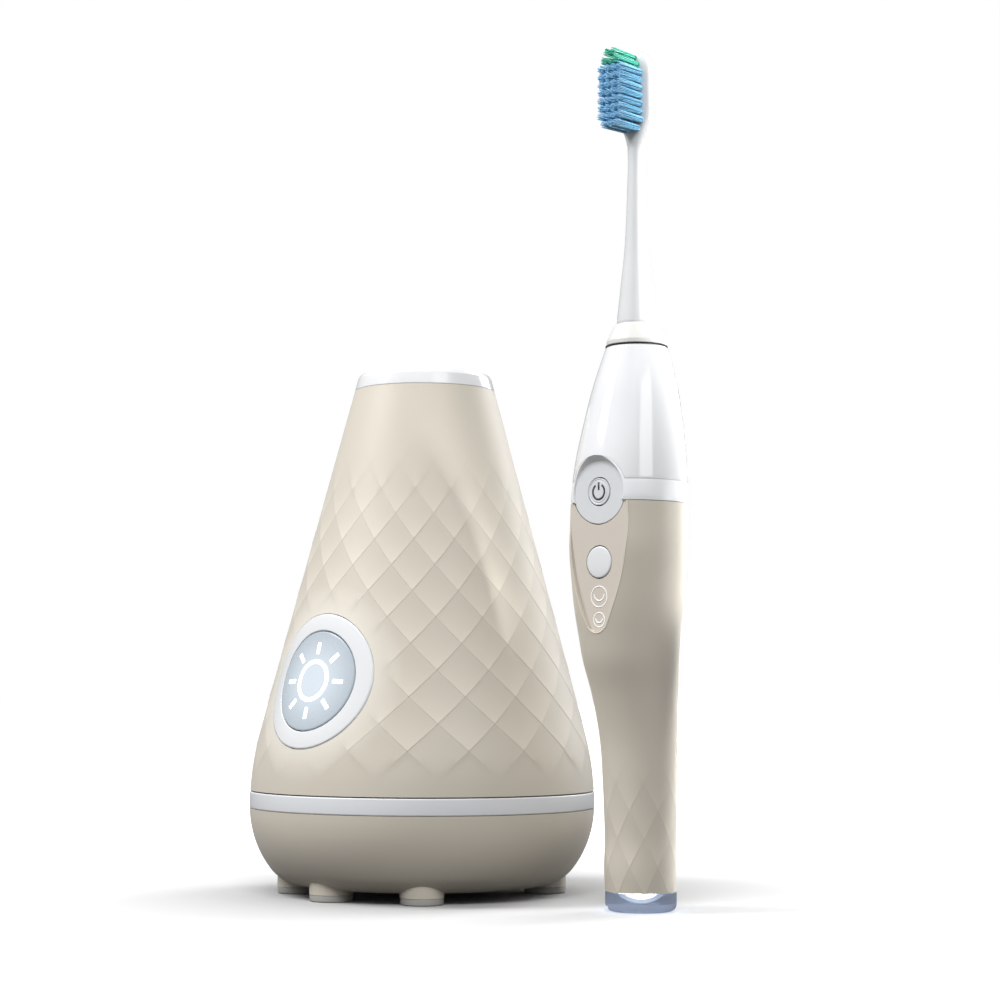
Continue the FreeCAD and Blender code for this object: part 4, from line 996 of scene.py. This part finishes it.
def make_end_cap():
    """The clear cap, hollowed out round the lit dome that hangs into it from the grip."""
    low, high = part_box("end_cap")
    dome_low, dome_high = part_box("status_dome")
    outer = (high.x - low.x) / 2
    seat = GRIP_LOW
    width = DOME_SCALE * (dome_high.x - dome_low.x) / 2
    drop = DOME_SCALE * (seat - dome_low.z)
    bend = (width * width + drop * drop) / (2 * drop)
    hollow = [(bend * math.sin(a), seat - drop + bend - bend * math.cos(a))
              for a in np.linspace(0.0, math.asin(width / bend), 14)]
    rim = seat - 0.05 * MM
    profile = rounded([(0, low.z), (outer, low.z), (outer, rim), (width + 0.5 * MM, rim)],
                      [2.4 * MM, 0.2 * MM], 8)
    profile += reversed(hollow)
    # Painted glow on the clear cap: emission that fades with distance from the seat where the lit dome hangs.
    paint_glow_from(cap_clear, Vector((*BRUSH, seat)), 4.5 * MM, 9.5 * MM, 0.55, 0.0, (0.80, 0.89, 1.0))
    turned_piece("cap_body", profile, BRUSH, cap_clear, "end_cap", 40)
    dome = [(max(x - 0.1 * MM, 0), z + 0.1 * MM) for x, z in hollow]
    dome += [(width - 0.2 * MM, seat + 0.8 * MM), (0, seat + 0.8 * MM)]
    turned_piece("cap_dome", dome, BRUSH, dome_lit, "status_dome", 40)


# ---- the toothbrush's head ----

seal_low, seal_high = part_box("neck_seal")
NECK = ((seal_low.x + seal_high.x) / 2, (seal_low.y + seal_high.y) / 2)


def make_neck():
    """The black seal round the shaft and the cream ring above it."""
    radius = (seal_high.x - seal_low.x) / 2
    seal_top = seal_low.z + 0.5 * MM
    profile = rounded([(3 * MM, seal_low.z), (radius, seal_low.z), (radius, seal_top), (3 * MM, seal_top)],
                      [0.2 * MM, 0.2 * MM])
    turned_piece("neck_seal_ring", profile, NECK, rubber_black, "neck_seal", 40, 96)
    low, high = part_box("colour_ring")
    foot = (high.x - low.x) / 2
    top = 5.75 * MM
    ring_low = seal_top + 0.04 * MM
    profile = rounded([(2.5 * MM, ring_low), (foot, ring_low), (foot, low.z + 0.4 * MM),
                       (top + 0.5 * MM, high.z - 0.3 * MM), (top, high.z), (4.2 * MM, high.z)],
                      [0.1 * MM, 0.5 * MM, 0.9 * MM, 0.2 * MM], 6)
    turned_piece("ring_collar", profile, NECK, ring_cream, "colour_ring", 50, 96)


# Stem sections: height above the ring, half width and half depth, in millimetres.
STEM_SECTIONS = [(-0.3, 5.5, 5.5), (1, 5.45, 5.45), (6, 4.95, 4.95), (12, 4.3, 4.3), (20, 3.45, 3.45),
                 (30, 2.85, 2.85), (40, 2.5, 2.45), (47, 2.35, 2.25)]
HEAD_LOW = 213.4 * MM
HEAD_ROWS = [0.0, 0.03, 0.07, 0.12, 0.18, 0.26, 0.36, 0.48, 0.6, 0.7, 0.78, 0.85, 0.91, 0.95, 0.98, 0.995, 1.0]
NECK_WIDTH = 2.6 * MM
HEAD_THICK = 2.3 * MM


def make_stem():
    """The stem tapers up from the ring into the neck of the oval head."""
    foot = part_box("colour_ring")[1].z
    low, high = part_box("brush_stem")
    half, length = (high.x - low.x) / 2, high.z - HEAD_LOW
    sections = [(foot + z * MM, wide * MM, deep * MM) for z, wide, deep in STEM_SECTIONS]
    sections.append((HEAD_LOW, NECK_WIDTH, 2.2 * MM))
    heights, widths, depths = zip(*sections)
    wide, deep = Spline(heights, widths), Spline(heights, depths)
    rows = [(z, wide(z), deep(z), 2.0) for z in np.linspace(heights[0], HEAD_LOW - 0.5 * MM, 46)]
    for f in HEAD_ROWS:
        swell = ease(f, -0.05, 0.36)
        close = math.sqrt(max(1 - max((f - 0.72) / 0.28, 0.0) ** 2.3, 0.0))
        width = (NECK_WIDTH + (half - NECK_WIDTH) * swell) * close
        thick = HEAD_THICK * (0.45 + 0.55 * close) if f < 1 else 0.3 * MM
        rows.append((HEAD_LOW + length * f, max(width, 0.05 * MM), thick, 2.0 + 0.8 * swell))
    vertices, segments = [], 72
    for z, width, thick, power in rows:
        for sine, cosine in circle(segments):
            vertices.append((NECK[0] + width * math.copysign(abs(sine) ** (2 / power), sine),
                             NECK[1] - thick * math.copysign(abs(cosine) ** (2 / power), cosine), z))
    faces = grid_faces(len(rows), segments, closed_columns=True)
    faces += [tuple(range(segments)), tuple(range(len(vertices) - segments, len(vertices)))]
    piece("stem_and_head", vertices, faces, stem_white, "brush_stem", 0)


def filament(start, end, radius, sides=6):
    """One bristle with a rounded tip."""
    along = (end - start).normalized()
    side = along.orthogonal().normalized()
    other = along.cross(side)
    rows = [(start, radius), (start + (end - start) * 0.55, radius), (end - along * radius, radius),
            (end - along * radius * 0.25, radius * 0.66), (end, radius * 0.15)]
    vertices = []
    for centre, size in rows:
        for sine, cosine in circle(sides):
            vertices.append(centre + side * (size * cosine) + other * (size * sine))
    faces = grid_faces(len(rows), sides, closed_columns=True)
    faces.append(tuple(range(len(vertices) - sides, len(vertices))))
    return vertices, faces


def tuft_boxes(node):
    """The lower and upper corner of each separate tuft in a CAD node."""
    shape = bmesh.new()
    shape.from_mesh(frame["nodes"][node].data)
    bmesh.ops.remove_doubles(shape, verts=shape.verts, dist=1e-6)
    seen, boxes = set(), []
    for vertex in shape.verts:
        if vertex.index in seen:
            continue
        stack, island = [vertex], []
        while stack:
            v = stack.pop()
            if v.index in seen:
                continue
            seen.add(v.index)
            island.append(v.co.copy())
            stack += [e.other_vert(v) for e in v.link_edges]
        boxes.append([Vector([pick(c[k] for c in island) for k in range(3)]) for pick in (min, max)])
    shape.free()
    return boxes


# Rings of filaments in a tuft: distance from the middle as a share of the tuft's radius, and how many.
TUFT_RINGS = ((0, 1), (0.42, 6), (0.84, 11))
TUFT_SPREAD = 0.25


def make_tuft_set(name, node, material, random):
    """Bundles of filaments in the places of the CAD tufts."""
    parts = []
    for low, high in tuft_boxes(node):
        centre, radius = (low + high) / 2, (high.z - low.z) / 2
        for ring, count in TUFT_RINGS:
            for n in range(count):
                angle = 2 * math.pi * (n + random.random() * 0.4) / count
                offset = Vector((math.cos(angle), 0, math.sin(angle))) * radius * ring
                start = Vector((centre.x, high.y, centre.z)) + offset
                lean = offset * TUFT_SPREAD + Vector(random.uniform(-1, 1, 3)) * 0.12 * MM
                tip = low.y + random.random() * 0.4 * MM + ring * 0.3 * MM
                end = Vector((centre.x, tip, centre.z)) + offset + lean
                parts.append(filament(start, end, radius * 0.2))
    piece(name, *joined(parts), material, node, 0)


def make_head():
    random = np.random.RandomState(7)
    make_neck()
    make_stem()
    make_tuft_set("bristles_blue", "tufts_main", bristle_blue, random)
    make_tuft_set("bristles_green", "tufts_tip", bristle_green, random)


def smooth_copy(name, node, material):
    """The CAD node's own shape with smooth shading."""
    mesh = frame["nodes"][node].data
    vertices, faces = [v.co.copy() for v in mesh.vertices], [tuple(p.vertices) for p in mesh.polygons]
    piece(name, vertices, faces, material, node)


# ---- studio ----

WORLD_LIGHT = 0.42
FLOOR_SIZE = 6.0
FLOOR_COLOUR = (0.52, 0.52, 0.52)
# Beyond the contact shadows the floor brightens into the white background.
FLOOR_GLOW_NEAR, FLOOR_GLOW_FAR = 60 * MM, 300 * MM
FLOOR_GLOW = 1.1
FLOOR_BOUNCE = (0.12, 0.1176, 0.114)
# The toothbrush and the strip lights beside it, as studio() takes them.
TOOTHBRUSH = (0.062, -0.052)
STRIP = (0.209, -0.083)


def softbox(name, across, away, height, width, tall, power, target=(0.0, 0.0, 0.1), spread=180.0,
            diffuse=True, glossy=True):
    """A soft rectangular light. A small spread is a strip box with a grid, which lights only what it faces.

    Without glossy it fills and leaves no highlight; without diffuse it is only seen reflected.
    """
    data = bpy.data.lights.new(name, "AREA")
    data.shape = "RECTANGLE"
    data.size, data.size_y, data.energy = width, tall, power
    data.spread = math.radians(spread)
    light = add_object(name, data)
    light.location = studio(across, away, height)
    light.visible_camera = False
    light.visible_diffuse = diffuse
    light.visible_glossy = glossy
    light.rotation_mode = "QUATERNION"
    light.rotation_quaternion = (studio(*target) - light.location).to_track_quat("-Z", "Y")


def camera_mix(tree, seen, around, output):
    """Shows one shader to the camera and lights the object with another."""
    path = tree.nodes.new("ShaderNodeLightPath")
    mix = tree.nodes.new("ShaderNodeMixShader")
    tree.links.new(path.outputs["Is Camera Ray"], mix.inputs["Fac"])
    tree.links.new(around, mix.inputs[1])
    tree.links.new(seen, mix.inputs[2])
    tree.links.new(mix.outputs["Shader"], output)


def make_world():
    world = bpy.data.worlds.new("studio")
    bpy.context.scene.world = world
    world.use_nodes = True
    tree = world.node_tree
    seen = tree.nodes["Background"]
    set_inputs(seen, {"Color": (1.0, 1.0, 1.0, 1), "Strength": 1.0})
    around = tree.nodes.new("ShaderNodeBackground")
    set_inputs(around, {"Color": (0.96, 0.98, 1.0, 1), "Strength": WORLD_LIGHT})
    camera_mix(tree, seen.outputs["Background"], around.outputs["Background"],
               tree.nodes["World Output"].inputs["Surface"])


def make_floor():
    mesh, size = bpy.data.meshes.new("floor"), FLOOR_SIZE
    corners = [(-size, -size, 0), (size, -size, 0), (size, size, 0), (-size, size, 0)]
    mesh.from_pydata(corners, [], [(0, 1, 2, 3)])
    floor = add_object("floor", mesh)
    white = plastic("floor_white", FLOOR_COLOUR, 0.9, vary=0.002, bump=0.0, specular=0.1)
    tree = white.node_tree
    # Painted glow on the floor, rising with distance from the station.
    paint_glow_from(white, (*STATION, 0), FLOOR_GLOW_NEAR, FLOOR_GLOW_FAR, 0.0, FLOOR_GLOW, (1, 1, 1))
    dull = tree.nodes.new("ShaderNodeBsdfDiffuse")
    dull.inputs["Color"].default_value = (*FLOOR_BOUNCE, 1)
    output = tree.nodes["Material Output"].inputs["Surface"]
    camera_mix(tree, shader_of(white).outputs["BSDF"], dull.outputs["BSDF"], output)
    mesh.materials.append(white)


def make_studio():
    bpy.context.scene.view_settings.view_transform = "Standard"
    make_world()
    make_floor()
    softbox("left", -0.75, -0.15, 0.9, 0.35, 0.6, 9.6)
    softbox("strip", *STRIP, 0.215, 0.022, 0.27, 0.029, (*TOOTHBRUSH, 0.215), 9.0)
    softbox("strip_low", *STRIP, 0.042, 0.008, 0.075, 0.0022, (*TOOTHBRUSH, 0.042), 5.0)
    softbox("back_right", 0.6, 0.5, 0.5, 0.4, 0.9, 6.0)
    softbox("front", 0.0, -1.0, 0.95, 0.6, 0.4, 9.4, glossy=False)
    softbox("reflector", 0.547, -0.927, 0.62, 0.5, 0.6, 2.8, (*TOOTHBRUSH, 0.14), diffuse=False)
    softbox("top", 0.0, 0.1, 1.1, 0.8, 0.6, 4.0)


make_camera()
dress_cad_nodes()
make_outer_shell()
smooth_copy("bowl_smooth", "lower_bowl", soft_beige)
make_station_trim()
make_feet()
make_station_button()
make_grip()
make_collar()
make_upper_housing()
make_end_cap()
make_head()
make_studio()
